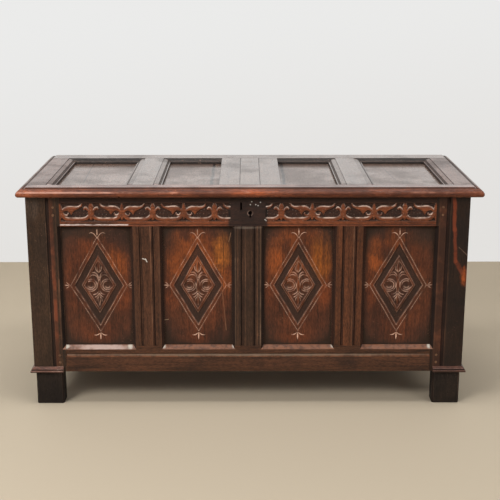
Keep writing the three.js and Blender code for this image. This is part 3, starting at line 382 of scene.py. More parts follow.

# %% [markdown]
# One recipe serves every timber: dark wood and bright wood mixed by the figure, darkened in the pores and
# under grime, and then the marks of use and of light on top. The mesh carries the marks as attributes:
# eased edges are worn and carry a painted highlight, channels are sunk and painted dark as shade and dirt,
# upward ledges hold dust and a painted highlight, carved ridges are pale with wear and a painted highlight,
# the tooled ground is dark, rims are darker, mostly as painted shade under the lid, along the panel edges
# and in the lid's quirks, and faces inside the chest stay raw. A timber only gets a tone of its own
# through the values that it hands in. Patches lie in the wood, touches on top of everything.

# %% Marks, spots and lines on oak
quarter_turn = math.radians(90)
grain_turns = {"x": origin, "y": (0.0, 0.0, quarter_turn), "z": (0.0, quarter_turn, 0.0)}
# Channels, grooves and cut holes are painted this dark, as shade and dirt in their hollows.
recess_shade_and_dirt = paint(26, 15, 10)


def at(x, y, z):
    """A place given in millimetres from the chest's middle, its front plane and the floor."""
    return (middle_x + mm(x), front_y + mm(y), mm(z))


def mark(tree, name):
    return add(tree, "ShaderNodeAttribute", None, attribute_name=name).outputs["Fac"]


def spotted(here, color, spots, texture):
    """Soft ovals of another tint laid over a colour; a spot may keep to one mark of the mesh."""
    for centre, reach, tint, strength, ragged, *only in spots:
        mask = placed(patch_group, Place=here, Centre=at(*centre), Reach=[mm(half) for half in reach],
                      Ragged=ragged)["Mask"]
        limits = [mark(here.id_data, name) for name in only]
        color = layered(color, (paint(*tint), mask, texture, strength, *limits))
    return color


def lined(here, color, lines, texture):
    """Upright lines of another tint, each so far from the middle of its timber, broken by the texture."""
    across = join("ShaderNodeSeparateXYZ", {0: here}).outputs[0]
    from_middle = maths("SUBTRACT", across, mark(here.id_data, "middle"))
    for offset, half_width, tint, strength in lines:
        gap = maths("ABSOLUTE", maths("SUBTRACT", from_middle, mm(offset)))
        mask = faded(gap, mm(half_width * 0.5), mm(half_width * 1.3), strength, 0.0)
        color = layered(color, (paint(*tint), mask, faded(texture, -0.4, 0.9)))
    return color


print("grain turned for", ", ".join(grain_turns))

# %% [markdown]
# The layers go on in this order: the wood, its pores and dirt, the lines along its mouldings, some of
# them painted sheen, the darker rims, mostly painted shade, the dark of the cut ground, the painted shade
# and dirt of channels, dust with a painted highlight on ledges, worn edges with a painted highlight, pale
# ridges of wear and painted highlight, and last the single touches and splits: cracks and scratches, and
# a few painted highlights and shadows. The polish is duller under dirt, in the painted shade of rims and
# channels, on the cut ground and where the wood is bare.

# %% The oak recipe
def oak(name, runs, deep, bright, worn=(128, 84, 60), dust_and_sheen=(140, 100, 78), polish=0.34, shine=0.3,
        coat=0.0, grime=0.45, figure=0.6, rim=(40, 29, 21), tooled=(40, 31, 25),
        pale_wear_and_highlight=(238, 208, 188), raw=(120, 88, 60), lines=(), patches=(), touches=(), splits=()):
    """A finish for timber whose grain runs along x, y or z."""
    material, tree, surface = new_material(name)
    here = add(tree, "ShaderNodeTexCoord").outputs["Object"]
    turned = join("ShaderNodeMapping", {"Vector": here, "Rotation": grain_turns[runs]}).outputs[0]
    board, ground, bare, shade_and_grime, sunk = (mark(tree, label)
                                         for label in ("board", "ground", "raw", "rim", "sunk"))
    grain = placed(grain_group, Place=turned, Board=board)
    dirt, smear, rubs = (placed(cloud_group, Place=here, Board=board, Size=size, Amount=amount)["Mask"]
                         for size, amount in ((8.0, grime), (60.0, 0.5), (14.0, 0.42)))
    tooth, pores = grain["Tooth"], grain["Pores"]
    tone = scaled(grain["Figure"], 0.5, times(grain["Lines"], 0.5))
    streaks = times(faded(tone, -0.1, 0.8, 0.3, 1.0), scaled(tooth, -0.3, 1.22))
    specks = faded(noise(here, (230.0, 230.0, 230.0), board, 1.0), 0.63, 0.72, 0.0, 0.55)

    color = mixed(times(tone, figure), paint(*deep), paint(*bright))
    color = spotted(here, color, patches, streaks)
    color = layered(color,
                    (paint(*deep, 0.4), tooth, 0.26),
                    (paint(*bright, 1.35), maths("SUBTRACT", 1.0, tooth), 0.1),
                    (paint(*bright), grain["Flecks"], 0.14),
                    (paint(*deep, 0.7), dirt, 0.6),
                    (paint(*deep, 0.4), pores, 0.6))
    color = lined(here, color, lines, rubs)
    # Rims are painted darker: mostly as shade under the lid, along the panel edges and in the lid's quirks
    # and drops, and also along joints and on the lock block.
    color = layered(color,
                    (paint(*rim), shade_and_grime, 0.95),
                    (paint(*tooled), ground, 0.95),
                    (recess_shade_and_dirt, sunk, 0.72),
                    (paint(*dust_and_sheen), mark(tree, "ledge"), faded(smear, -0.5, 0.9)),
                    (paint(*worn), mark(tree, "worn"), faded(rubs, 0.0, 1.0, 0.12, 0.85)),
                    # The pale mark is scraped wear together with a painted highlight along upper edges and
                    # ridges.
                    (paint(*pale_wear_and_highlight), mark(tree, "pale"), faded(smear, -0.7, 0.7)),
                    (paint(*worn), specks, rubs))
    color = spotted(here, color, touches, 1.0)
    for start, end, width, tint, strength in splits:
        line = placed(split_group, Place=here, Start=at(*start), End=at(*end), Width=mm(width))["Mask"]
        color = layered(color, (paint(*tint), line, strength, faded(smear, -0.9, 0.7)))
    raw_tone = mixed(tone, paint(*raw, 0.72), paint(*raw))
    tree.links.new(mixed(bare, color, raw_tone), surface["Base Color"])

    dull = maths("MAXIMUM", maths("MAXIMUM", ground, bare), maths("MAXIMUM", shade_and_grime, sunk))
    gloss = polish
    for mask, share in ((pores, 0.16), (dirt, 0.14), (dull, 0.45)):
        gloss = scaled(mask, share, gloss)
    tree.links.new(maths("MINIMUM", gloss, 0.95), surface["Roughness"])
    surface["Specular IOR Level"].default_value = shine
    if coat:
        waxed = times(scaled(mark(tree, "nose"), -1.0, 1.0), scaled(dirt, -0.3, 1.0), coat)
        tree.links.new(waxed, surface["Coat Weight"])
    surface["Coat Roughness"].default_value = 0.12

    relief = scaled(grain["Lines"], 0.3, times(pores, -0.5))
    relief = scaled(smear, 0.25, relief)
    bump = join("ShaderNodeBump", {"Height": relief, "Strength": 0.35, "Distance": mm(1.0)})
    tree.links.new(bump.outputs[0], surface["Normal"])
    return material


print("recipe ready, sunk parts painted", [round(part, 3) for part in recess_shade_and_dirt[:3]])

# %% [markdown]
# Wear, dirt and painted light follow the shape of a timber, so every face gets marks by how it lies
# against the show face: what lies below it is sunk and painted dark as shade and dirt, what slopes
# upwards holds dust and a painted highlight, and what looks into the chest is raw wood. Marks painted by
# hand would be lost whenever a solid changes. The lid has marks of its own: painted shade sits in its
# quirks and drops, and a painted highlight lies along the crown of its nose.

# %% Marks on the faces of a timber
facings = {"front": Vector((0, -1, 0)), "left": Vector((-1, 0, 0)), "right": Vector((1, 0, 0)),
           "back": Vector((0, 1, 0)), "up": Vector((0, 0, 1))}
flush, quirk_depth, hollow_depth = mm(0.4), mm(3.2), mm(7.6)
level, crown, pocket = 0.97, (0.45, 0.7), 0.2


def lid_marks(normal, depth, indoors):
    """Painted shade in the quirks and drops of a lid timber, and a painted highlight along the crown of its
    nose.
    """
    if normal.z > level and depth < flush:
        return {"nose": 0.0, "rim": 0.0, "worn": 0.0}
    if indoors:
        # Inside the frame, the quirks, hollows and drops are painted dark as shade; flat faces and fillets
        # stay light.
        fillet = normal.z > level and depth > hollow_depth
        flat = depth < quirk_depth and normal.z > 0.8 and normal.y > -0.05
        dirt = 0.15 if flat or fillet else 0.95
        return {"nose": dirt, "rim": dirt, "worn": 0.0}
    # On the nose, the quirk is painted dark as shade, and the faces below the crown carry a painted
    # highlight.
    quirk = depth < quirk_depth and not pocket < normal.z < level
    lit_crown = crown[0] < normal.z < crown[1]
    return {"nose": 1.0, "rim": 0.75 if quirk else 0.0, "worn": 1.0 if lit_crown else 0.0}


def face_marks(shape, facing, marks):
    """Marks every face by how it lies against the show face of its timber."""
    out = facings[facing]
    outer = max(vertex.co.dot(out) for vertex in shape.verts)
    upright = facing != "up"
    for face in shape.faces:
        towards, rising = face.normal.dot(out), face.normal.z
        centre = face.calc_center_median()
        depth = outer - centre.dot(out)
        # An upward slope of a show face gets the ledge mark: dust with a painted highlight.
        ledge = min(1.0, 1.6 * max(0.0, rising)) if 0.05 < towards < 0.98 and upright else 0.0
        # A face below the show face is sunk and is painted dark as shade and dirt.
        sunk = 1.0 if towards > 0.05 and depth > flush and upright and ledge < 0.3 else 0.0
        indoors = centre.y > front_y and abs(centre.x - middle_x) < half_length
        values = {"sunk": sunk, "ledge": ledge, "raw": 1.0 if towards < -0.5 and indoors else 0.0}
        if not upright:
            values.update(lid_marks(face.normal, depth, indoors))
        for loop in face.loops:
            for label, value in values.items():
                loop[marks[label]] = value


print("show faces", ", ".join(facings))

# %% [markdown]
# The solid timbers have knife-sharp corners, which no old chest has. A bevel modifier could ease them, but
# it can't tell a corner from the seam between two triangles of one flat face. So a copy is taken, its
# seams are dissolved, and only outer corners sharper than a limit are bevelled. The new strips get
# marks of their own: worn with a painted highlight on the frame, grimy on the lid.

# %% Easing the edges of a timber
crisp_angle = math.radians(32)
eased_edge = mm(1.1)


def eased(node, facing, width):
    """A merged and bevelled copy of a frame node, as a mesh."""
    shape = bmesh.new()
    shape.from_mesh(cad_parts[node].data)
    bmesh.ops.remove_doubles(shape, verts=shape.verts, dist=mm(0.02))
    bmesh.ops.dissolve_limit(shape, angle_limit=math.radians(0.4), verts=shape.verts, edges=shape.edges)
    marks = {label: shape.loops.layers.float.new(label)
             for label in ("worn", "sunk", "ledge", "raw", "nose", "rim")}
    face_marks(shape, facing, marks)
    crisp = [edge for edge in shape.edges
             if edge.is_manifold and edge.is_convex and edge.calc_face_angle(0.0) > crisp_angle]
    made = bmesh.ops.bevel(shape, geom=crisp, offset=width, segments=2, profile=0.5, affect="EDGES",
                           clamp_overlap=True, loop_slide=True)
    # Bevel strips on the frame are marked as rubbed edges with a painted highlight; on the lid they are
    # grimy joints.
    edge_marks = {"worn": 0.0, "rim": 0.7, "sunk": 0.0} if facing == "up" else {"worn": 1.0, "sunk": 0.0}
    for loop in (loop for face in made["faces"] for loop in face.loops):
        for label, value in edge_marks.items():
            loop[marks[label]] = value
    mesh = bpy.data.meshes.new(node)
    shape.to_mesh(mesh)
    shape.free()
    return mesh


print("edges eased by", round(eased_edge * 1000, 1), "mm")

# %% [markdown]
# Every finished mesh goes the same way into the scene: it takes the place of its solid, rides on the body
# that moves it, and gets a number that shifts its grain. Weighted normals keep the flat faces flat and
# let the mouldings flow.

# %% Putting a finished mesh in the scene
finished = []


def write_points(mesh, label, values):
    """Writes a number for each point of a mesh, or the same number for all of them."""
    spread = np.full(len(mesh.vertices), values, np.float32)
    mesh.attributes.new(label, "FLOAT", "POINT").data.foreach_set("value", spread)


def fitted(mesh, name, material, body, nodes):
    """Puts a finished mesh in the scene for the frame's nodes that it stands for. Its board number
    shifts the grain, and upright lines are measured from its middle."""
    sides = [vertex.co.x for vertex in mesh.vertices]
    write_points(mesh, "board", 3.7 * (len(finished) + 1))
    write_points(mesh, "middle", (min(sides) + max(sides)) / 2)
    mesh.materials.clear()
    mesh.materials.append(material)
    piece = bpy.data.objects.new(name, mesh)
    scene.collection.objects.link(piece)
    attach(piece, body)
    if nodes:
        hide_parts(*nodes)
    finished.append(piece)
    return piece


def dressed(node, facing, material, body, width=eased_edge):
    """An eased timber in the scene, smooth over its mouldings and flat on its faces."""
    piece = fitted(eased(node, facing, width), "dressed_" + node, material, body, [node])
    piece.data.polygons.foreach_set("use_smooth", np.ones(len(piece.data.polygons), bool))
    piece.data.set_sharp_from_angle(angle=math.radians(14 if facing == "up" else 26))
    piece.modifiers.new("even_normals", "WEIGHTED_NORMAL").keep_sharp = True


print("ready to dress", len(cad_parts), "solids, dressed so far", len(finished))

# %% [markdown]
# The carving is shallow relief, cut into the face of a board, so each carved board is a fine grid whose
# points are pushed into the wood. How far is worked out from distances: a stroke is a path with a
# half-width at each point, and every place on the board knows how deep inside the nearest stroke it
# lies. That gives rounded ribbons and leaves whose edges stay soft, as a carver's gouge leaves them.
# Sculpting by hand could give the same, but a stroke in numbers can be moved and mirrored.

# %% Distances for drawing in wood
def smooth_path(points, steps=7):
    """Points (place, height, half-width) joined by a Catmull-Rom curve."""
    knots = np.array([points[0], *points, points[-1]], float)
    path = []
    for before, start, end, after in zip(knots, knots[1:], knots[2:], knots[3:]):
        for share in np.linspace(0, 1, steps, endpoint=False):
            path.append(0.5 * (2 * start + (end - before) * share
                               + (2 * before - 5 * start + 4 * end - after) * share ** 2
                               + (3 * start - before - 3 * end + after) * share ** 3))
    return np.array([*path, knots[-1]])


def from_segment(across, up, start, end):
    """The share of a straight piece at which it is nearest to each place, and the distance to it."""
    run_x, run_z = end[0] - start[0], end[1] - start[1]
    length = max(run_x ** 2 + run_z ** 2, 1e-12)
    share = np.clip(((across - start[0]) * run_x + (up - start[1]) * run_z) / length, 0, 1)
    return share, np.hypot(across - start[0] - share * run_x, up - start[1] - share * run_z)


def in_stroke(across, up, points, steps=7):
    """How far each place lies inside a tapering stroke; negative outside it."""
    inside = np.full(across.shape, -1.0)
    path = smooth_path(points, steps)
    for start, end in zip(path, path[1:]):
        share, away = from_segment(across, up, start, end)
        inside = np.maximum(inside, start[2] + (end[2] - start[2]) * share - away)
    return inside


def in_strokes(across, up, strokes):
    """The same for the nearest of several strokes that are given in millimetres."""
    metres = [[tuple(mm(value) for value in point) for point in stroke] for stroke in strokes]
    return np.maximum.reduce([in_stroke(across, up, stroke, 5) for stroke in metres])


def in_outline(across, up, outline):
    """How far each place lies inside a closed outline; negative outside it."""
    away = np.full(across.shape, 1.0)
    within = np.zeros(across.shape, bool)
    for start, end in zip(outline, [*outline[1:], outline[0]]):
        away = np.minimum(away, from_segment(across, up, start, end)[1])
        (x0, z0), (x1, z1) = start, end
        if z0 != z1:
            within ^= ((z0 > up) != (z1 > up)) & (across < (x1 - x0) * (up - z0) / (z1 - z0) + x0)
    return np.where(within, away, -away)


middle = np.zeros((1, 1))
in_line = in_strokes(middle, middle, [[(0, -5, 2), (0, 5, 2)]])[0, 0]
print("the middle of a 4 mm stroke lies", round(in_line * 1000, 1), "mm inside it")

# %% [markdown]
# Distances become wood through a few simple shapes: a soft step for a wall, a dome for a ribbon, a thin
# line for a scratch. Two sums of waves stand for the hand that wavers and the line that is worn through,
# and a grid of shifted points for the marks of the punch.

# %% Steps, domes and the waver of handwork
def step_up(value, width):
    """0 below nothing, 1 past the width, with a soft start and end."""
    share = np.clip(value / width, 0, 1)
    return share * share * (3 - 2 * share)


def dome(inside, width):
    """The rounded shoulder of a ribbon: 0 at its edge, 1 where it is as deep as the width."""
    share = np.clip(inside / width, 0, 1)
    return np.sqrt(1 - (1 - share) ** 2)


def thin_line(value, width):
    """A soft line where the value passes through nothing."""
    return np.exp(-(value / width) ** 2)


slow_waves = [(31, 17, 0.4), (-23, 41, 1.9), (67, -29, 4.1), (13, 83, 2.6)]
short_waves = [(140, 90, 0.7), (-110, 160, 2.3), (260, -70, 1.1)]


def waved(across, up, waves, seed):
    return sum(np.sin(a * across + b * up + c * seed) for a, b, c in waves)


def unsteady(across, up, size, seed):
    """The slight waver of handwork: slow waves of no more than the size."""
    return size * waved(across, up, slow_waves, seed + 1) / len(slow_waves)


def broken(across, up, seed):
    """Worn places of a fine line: shares between 0 and 1 that change every few centimetres."""
    return np.clip(0.72 + 0.28 * waved(across, up, short_waves, seed + 2), 0, 1)


def punched(across, up, spacing, seed):
    """The pits of a tooled ground: 1 in the middle of a pit, 0 between the pits."""
    random = np.random.default_rng(seed)
    columns, rows = (int(np.ptp(line) / spacing) + 3 for line in (across, up))
    drift = random.uniform(-0.32, 0.32, (rows + 2, columns + 2, 2))
    place_x, place_z = (across - across.min()) / spacing + 1, (up - up.min()) / spacing + 1
    cell_x, cell_z = place_x.astype(int), place_z.astype(int)
    nearest = np.full(across.shape, 9.0)
    for step_x in (-1, 0, 1):
        for step_z in (-1, 0, 1):
            here_x, here_z = cell_x + step_x, cell_z + step_z
            shift = drift[np.clip(here_z, 0, rows + 1), np.clip(here_x, 0, columns + 1)]
            away = np.hypot(place_x - here_x - 0.5 - shift[..., 0], place_z - here_z - 0.5 - shift[..., 1])
            nearest = np.minimum(nearest, away)
    return 1 - step_up(nearest, 0.62)


print("a dome stands at", round(float(dome(mm(1), mm(2))), 2), "of its height halfway in")

# %% [markdown]
# A carved board is closed like the real one: the grid in front, four edges, and a back that is thinned
# towards its rim where the board has to slip into a groove. The slope of the finished relief tells which
# parts face upwards; they catch dust and a painted highlight.

# %% A board with a carved face
def carved_board(name, x_range, z_range, face_y, pitch, carving, edge_depth, full_depth, field_run):
    (left, right), (low, high) = x_range, z_range
    columns, rows = (int(round((end - start) / pitch)) + 1 for start, end in (x_range, z_range))
    across, up = np.meshgrid(np.linspace(left, right, columns), np.linspace(low, high, rows))
    depth, marks = carving(across, up)
    slope = np.gradient(depth, (high - low) / (rows - 1), axis=0)
    # Upward slopes of the relief get the ledge mark: dust with a painted highlight.
    marks["ledge"] = np.clip((slope - 0.25) / 0.9, 0, 1) * marks.pop("dust_and_sheen")
    front = np.stack([across, face_y + depth, up], axis=-1).reshape(-1, 3)
    index = np.arange(rows * columns).reshape(rows, columns)
    faces = np.stack([index[:-1, :-1], index[:-1, 1:], index[1:, 1:], index[1:, :-1]],
                     axis=-1).reshape(-1, 4).tolist()
    flags = [True] * len(faces)

    rim = [*index[0, :-1], *index[:-1, -1], *index[-1, :0:-1], *index[:0:-1, 0]]
    count = len(front)
    ring = list(range(count, count + len(rim)))
    inner = [count + len(rim) + corner for corner in range(4)]
    behind = front[rim].copy()
    behind[:, 1] = face_y + edge_depth
    west, east, south, north = left + field_run, right - field_run, low + field_run, high - field_run
    corners = [(x, face_y + full_depth, z)
               for x, z in ((west, south), (east, south), (east, north), (west, north))]
    for i, start in enumerate(rim):
        following = (i + 1) % len(rim)
        faces.append([int(start), ring[i], ring[following], int(rim[following])])
    turns = [0, columns - 1, columns + rows - 2, 2 * columns + rows - 3, len(rim)]
    for side in range(4):
        stretch = [ring[i % len(rim)] for i in range(turns[side], turns[side + 1] + 1)]
        faces.append([*reversed(stretch), inner[side], inner[(side + 1) % 4]])
    faces.append([inner[0], inner[3], inner[2], inner[1]])
    mesh = bpy.data.meshes.new(name)
    mesh.from_pydata([*front.tolist(), *behind.tolist(), *corners], [], faces)
    flags += [False] * (len(faces) - len(flags))
    mesh.polygons.foreach_set("use_smooth", flags)

    back_count = len(rim) + len(inner)
    for label, values in marks.items():
        face_values = np.broadcast_to(values, across.shape).ravel()
        write_points(mesh, label, np.append(face_values, np.zeros(back_count)))
    write_points(mesh, "raw", np.repeat([0.0, 1.0], [count, back_count]))
    print(name, columns, "by", rows, "points,", round(float(depth.max()) * 1000, 1), "mm deep")
    return mesh


# %% [markdown]
# The frieze repeats one cell between two uprights. A strap droops from upright to upright along the
# foot, a leaf springs from every second upright and curls its tip up to the border, and the uprights
# between carry a bud with two small curls. The cell is drawn once in shares of its width and height
# and mirrored from upright to upright, with a slight waver so that no two are quite alike. The ground
# between the forms is sunk and punched all over.

# %% The drawing of the frieze
frieze_foot = opening_z[1] + mm(14)
frieze_head = carcase_top - mm(21.5)
frieze_height = frieze_head - frieze_foot
frieze_inner = mm(52)
frieze_outer = (span_x[1] - span_x[0]) / 2 - mm(2.5)
frieze_lead = mm(48)
frieze_nodes = 6
frieze_depth = mm(4.5)
frieze_pitch = (frieze_outer - frieze_inner - frieze_lead) / (frieze_nodes - 1)
rail_bead, bead_depth, bead_width = opening_z[1] + mm(5), mm(1.5), mm(1.5)
ground_wall, ribbon_shoulder, ribbon_crown = mm(1.6), mm(3.0), mm(7)
pit_spacing, pit_depth = mm(4.2), mm(0.7)
scratch_inset, scratch_width, scratch_depth = mm(2.6), mm(0.8), mm(0.5)
lid_shade, lid_shade_run, block_shade_run = mm(19), mm(8), mm(9)

strap_shares = [(0.01, 0.5, 0.07), (0.05, 0.36, 0.08), (0.14, 0.2, 0.088), (0.26, 0.115, 0.092),
                (0.5, 0.1, 0.095), (0.72, 0.11, 0.092), (0.85, 0.175, 0.088), (0.93, 0.29, 0.085),
                (1.0, 0.44, 0.08)]
leaf_shares = [(0.03, 0.58), (0.08, 0.68), (0.15, 0.77), (0.25, 0.83), (0.38, 0.83), (0.5, 0.81),
               (0.6, 0.82), (0.67, 0.88), (0.715, 1.02), (0.735, 0.95), (0.715, 0.83), (0.65, 0.74),
               (0.56, 0.67), (0.48, 0.61), (0.42, 0.54), (0.385, 0.43), (0.355, 0.355), (0.325, 0.44),
               (0.29, 0.52), (0.24, 0.58), (0.18, 0.6), (0.13, 0.57), (0.08, 0.5), (0.03, 0.47)]
scroll_shares = [(0.07, 0.5, 0.045), (0.1, 0.4, 0.04), (0.17, 0.33, 0.035), (0.24, 0.36, 0.03),
                 (0.25, 0.44, 0.02)]
curl_shares = [(0.98, 0.54, 0.06), (0.915, 0.61, 0.055), (0.87, 0.69, 0.055), (0.82, 0.725, 0.055),
               (0.785, 0.67, 0.045)]
bud_shares = [(0.0, *rest) for rest in (
    (0.14, 0.06), (0.3, 0.1), (0.455, 0.16), (0.61, 0.095), (0.75, 0.12), (0.86, 0.085), (0.95, 0.05),
    (1.03, 0.02))]
stem_shares = [(0.0, *rest) for rest in (
    (0.16, 0.05), (0.3, 0.08), (0.46, 0.12), (0.58, 0.135), (0.7, 0.1), (0.82, 0.07), (0.92, 0.05),
    (1.02, 0.015))]
keyhole_x, keyhole_z, keyhole_radius = middle_x + mm(6.5), carcase_top - mm(52), mm(5.5)
slot_x, slot_z, slot_half = middle_x - mm(20.5), carcase_top - mm(32), (mm(2), mm(11))

print("frieze cell", round(frieze_pitch * 1000, 1), "by", round(frieze_height * 1000, 1), "mm")

# %% [markdown]
# The drawing is folded over the length of the rail, and its distances are turned into depth: ribbons
# with round shoulders, a punched ground, scratched inner lines and a bead along the foot. The keyhole
# and the slot beside it are sunk deep into the plain block in the middle.

# %% The relief of the frieze
def frieze_places(shares):
    return [(a * frieze_pitch, b * frieze_height, *(c * frieze_height for c in rest))
            for a, b, *rest in shares]


def frieze_forms(across, up):
    """How far each place lies inside the strap, the leaves and the buds of its cell."""
    from_middle = np.abs(across - middle_x)
    cell = (from_middle - frieze_inner - frieze_lead) / frieze_pitch
    folded = np.mod(cell + 1, 2)
    share = np.where(folded > 1, 2 - folded, folded)
    a = share * frieze_pitch + unsteady(across, up, mm(1.1), 1)
    b = up - frieze_foot + unsteady(across, up, mm(0.9), 2)
    forms = {"strap": in_stroke(a, b, frieze_places(strap_shares)),
             "leaf": in_outline(a, b, frieze_places(leaf_shares)),
             "bud": in_stroke(frieze_pitch - a, b, frieze_places(bud_shares))}
    for name, shares in (("curl", curl_shares), ("scroll", scroll_shares), ("stem", stem_shares)):
        forms[name] = in_stroke(a, b, frieze_places(shares))
    return forms


def key_cuts(across, up):
    """The keyhole and the slot beside it: 1 in the opening. Also the distance from the keyhole's eye."""
    eye = np.hypot(across - keyhole_x, up - keyhole_z)
    throat = np.maximum(np.abs(across - keyhole_x) - mm(2.2), np.abs(up - keyhole_z + mm(7)) - mm(7))
    hole = 1 - step_up(np.minimum(eye - keyhole_radius, throat) + mm(0.6), mm(1.2))
    slot = 1 - step_up(np.maximum(np.abs(across - slot_x) - slot_half[0],
                                  np.abs(up - slot_z) - slot_half[1]) + mm(0.4), mm(1.0))
    return np.maximum(hole, slot), eye


def rail_carving(across, up):
    from_middle = np.abs(across - middle_x)
    field = np.minimum(np.minimum(from_middle - frieze_inner, frieze_outer - from_middle),
                       np.minimum(up - frieze_foot, frieze_head - up))
    forms = frieze_forms(across, up)
    inside = np.maximum.reduce(list(forms.values()))
    raised = dome(inside + mm(0.4), ribbon_shoulder)
    sunk = step_up(field, ground_wall)
    lowered = sunk * (1 - raised)
    pits = punched(across, up, pit_spacing, 5)
    depth = frieze_depth * lowered + mm(0.7) * sunk * raised * (1 - step_up(inside, ribbon_crown))
    depth = depth + pit_depth * pits * step_up(lowered - 0.5, 0.4)
    scratches = sunk * sum(thin_line(forms[name] - scratch_inset, scratch_width)
                           for name in ("strap", "leaf"))
    bead_cut = thin_line(up - rail_bead, bead_width)
    specks = step_up(punched(across, up, mm(11), 8) - 0.9, 0.1)
    cut, eye = key_cuts(across, up)
    depth = depth + scratch_depth * scratches + bead_depth * bead_cut
    depth = np.maximum(depth, mm(14) * cut) + unsteady(across, up, mm(0.25), 5)
    ring = 0.8 * thin_line(eye - keyhole_radius - mm(2.2), mm(0.8)) * (1 - cut) * broken(across, up, 6)
    # A painted highlight along the upper edges of the carved forms.
    lit_top_edge = np.clip(np.gradient(raised, axis=0) * -2.6 - 0.25, 0, 1) * sunk * broken(across, up, 1)
    # The painted shadow of the lid's nose along the top of the rail.
    lid_shadow = 0.9 * (1 - step_up(carcase_top - up - lid_shade, lid_shade_run))
    lock_block = 0.92 * (1 - step_up(from_middle - frieze_inner - mm(2), block_shade_run))
    # The keyhole, the slot and the bead groove are painted dark as shade in their hollows.
    marks = {
        "ground": lowered * (1 - cut) * (0.85 + 0.15 * pits),
        "sunk": np.maximum(cut, 0.85 * bead_cut),
        "pale": np.clip(0.45 * ring + lit_top_edge + 0.3 * specks * sunk * broken(across, up, 9), 0, 1),
        "rim": np.maximum(lid_shadow, lock_block) * (1 - ring),
        "dust_and_sheen": (1 - cut) * sunk * 0.4,
    }
    return depth, marks


print("leaf outline of", len(frieze_places(leaf_shares)), "points")

# %% [markdown]
# Each front panel carries a lozenge. Two fine ridges frame a narrow band of plain wood, inside them the
# ground is sunk, dark and punched, and in it stands a smaller raised frame around a sunk heart. The
# heart holds two scooped eyes in volutes that stand back to back, with leaves above and a lancet below.
# Small sprigs stand on the four points. Kites and strokes are enough to draw it all.

# %% The drawing of the lozenge
lozenge_half = (mm(87), mm(151.6))
lozenge_rise = mm(3.5)
waist_drop = mm(3)
band_outer_share, band_inner_share, heart_share = 0.87, 0.615, 0.505
band_depth, heart_depth = mm(3.2), mm(3.4)
eye_x, eye_z, eye_radius = mm(26), mm(-4), mm(8)
volute_radii, volute_width = (mm(14), mm(19.5)), mm(1.3)
leaf_shoulder, panel_pits, bead_run = mm(1.8), mm(3.6), mm(5.2)

heart_strokes = [
    [(0, -24, 2.6), (0, -6, 5.6), (0, 12, 2.8)],
    [(0, 38, 1.4), (0, 54, 5.2), (0, 67, 3.0), (0, 74, 0.6)],
    [(0, -30, 1.2), (0, -46, 3.8), (0, -60, 2.0), (0, -68, 0.5)],
    [(1.5, 12, 1.2), (5, 22, 1.4), (12, 29, 1.5), (22, 29, 1.2), (30, 23, 0.8)],
    [(1.5, 20, 1.1), (5, 30, 1.4), (12, 37, 1.5), (20, 37, 1.0)],
    [(3, 40, 1.0), (8, 47, 1.3), (9, 56, 0.9)],
    [(2, -24, 1.1), (9, -31, 1.3), (18, -34, 1.0)],
    [(1.5, -30, 1.0), (7, -38, 1.2), (13, -42, 0.9)],
    [(2, -40, 0.9), (7, -46, 1.1), (8, -54, 0.8)],
]
sprig_top = [[(0, 3, 0.7), (0, 14, 1.7), (0, 26, 0.3)],
             [(0, -6, 0.7), (6, 4, 1.0), (12, 10, 1.2), (19, 12, 0.9), (25, 9, 0.3)]]
sprig_foot = [[(0, -4, 0.7), (0, -16, 2.2), (0, -27, 0.4)],
              [(1, -4, 0.6), (8, -10, 1.6), (15, -12, 1.2), (21, -11, 0.3)]]
sprig_side = [[(3, 0, 0.7), (11, 1, 1.6), (19, 1, 0.3)], [(3, 2, 0.5), (9, 7, 1.1), (14, 11, 0.3)],
              [(3, -2, 0.5), (9, -6, 1.1), (14, -9, 0.3)]]

print("lozenge", *[round(2000 * half) for half in lozenge_half], "mm,", len(heart_strokes), "strokes")

# %% [markdown]
# Half a lozenge is enough, because the other half is its mirror image. Each panel gets its own seed, so
# the waver, the pale ridges and the pits differ from one to the next.

# %% The relief of a lozenge
def in_kite(across, up, share):
    """How far each place lies inside the lozenge drawn at that share of its full size."""
    width, height = lozenge_half[0] * share, lozenge_half[1] * share
    rise, fall = height + waist_drop, height - waist_drop
    upper = ((width - across) * rise - (up + waist_drop) * width) / math.hypot(rise, width)
    lower = ((width - across) * fall + (up + waist_drop) * width) / math.hypot(fall, width)
    return np.minimum(upper, lower)


def sprigs(across, up):
    """How far each place lies inside the small leaves on the four points of a lozenge."""
    return np.maximum.reduce([
        in_strokes(across, up - lozenge_half[1], sprig_top),
        in_strokes(across, up + lozenge_half[1], sprig_foot),
        in_strokes(across - lozenge_half[0], up + waist_drop, sprig_side)])


def heart_forms(across, up):
    """The volutes, leaves and lancets in the heart, and how far each place is from the eye."""
    eye = np.hypot(across - eye_x, up - eye_z)
    open_side = step_up(across - eye_x - mm(6), mm(6)) * step_up(up - eye_z + mm(8), mm(8))
    rings = [volute_width - np.abs(eye - radius) - mm(4) * open_side for radius in volute_radii]
    return np.maximum.reduce([*rings, in_strokes(across, up, heart_strokes)]), eye


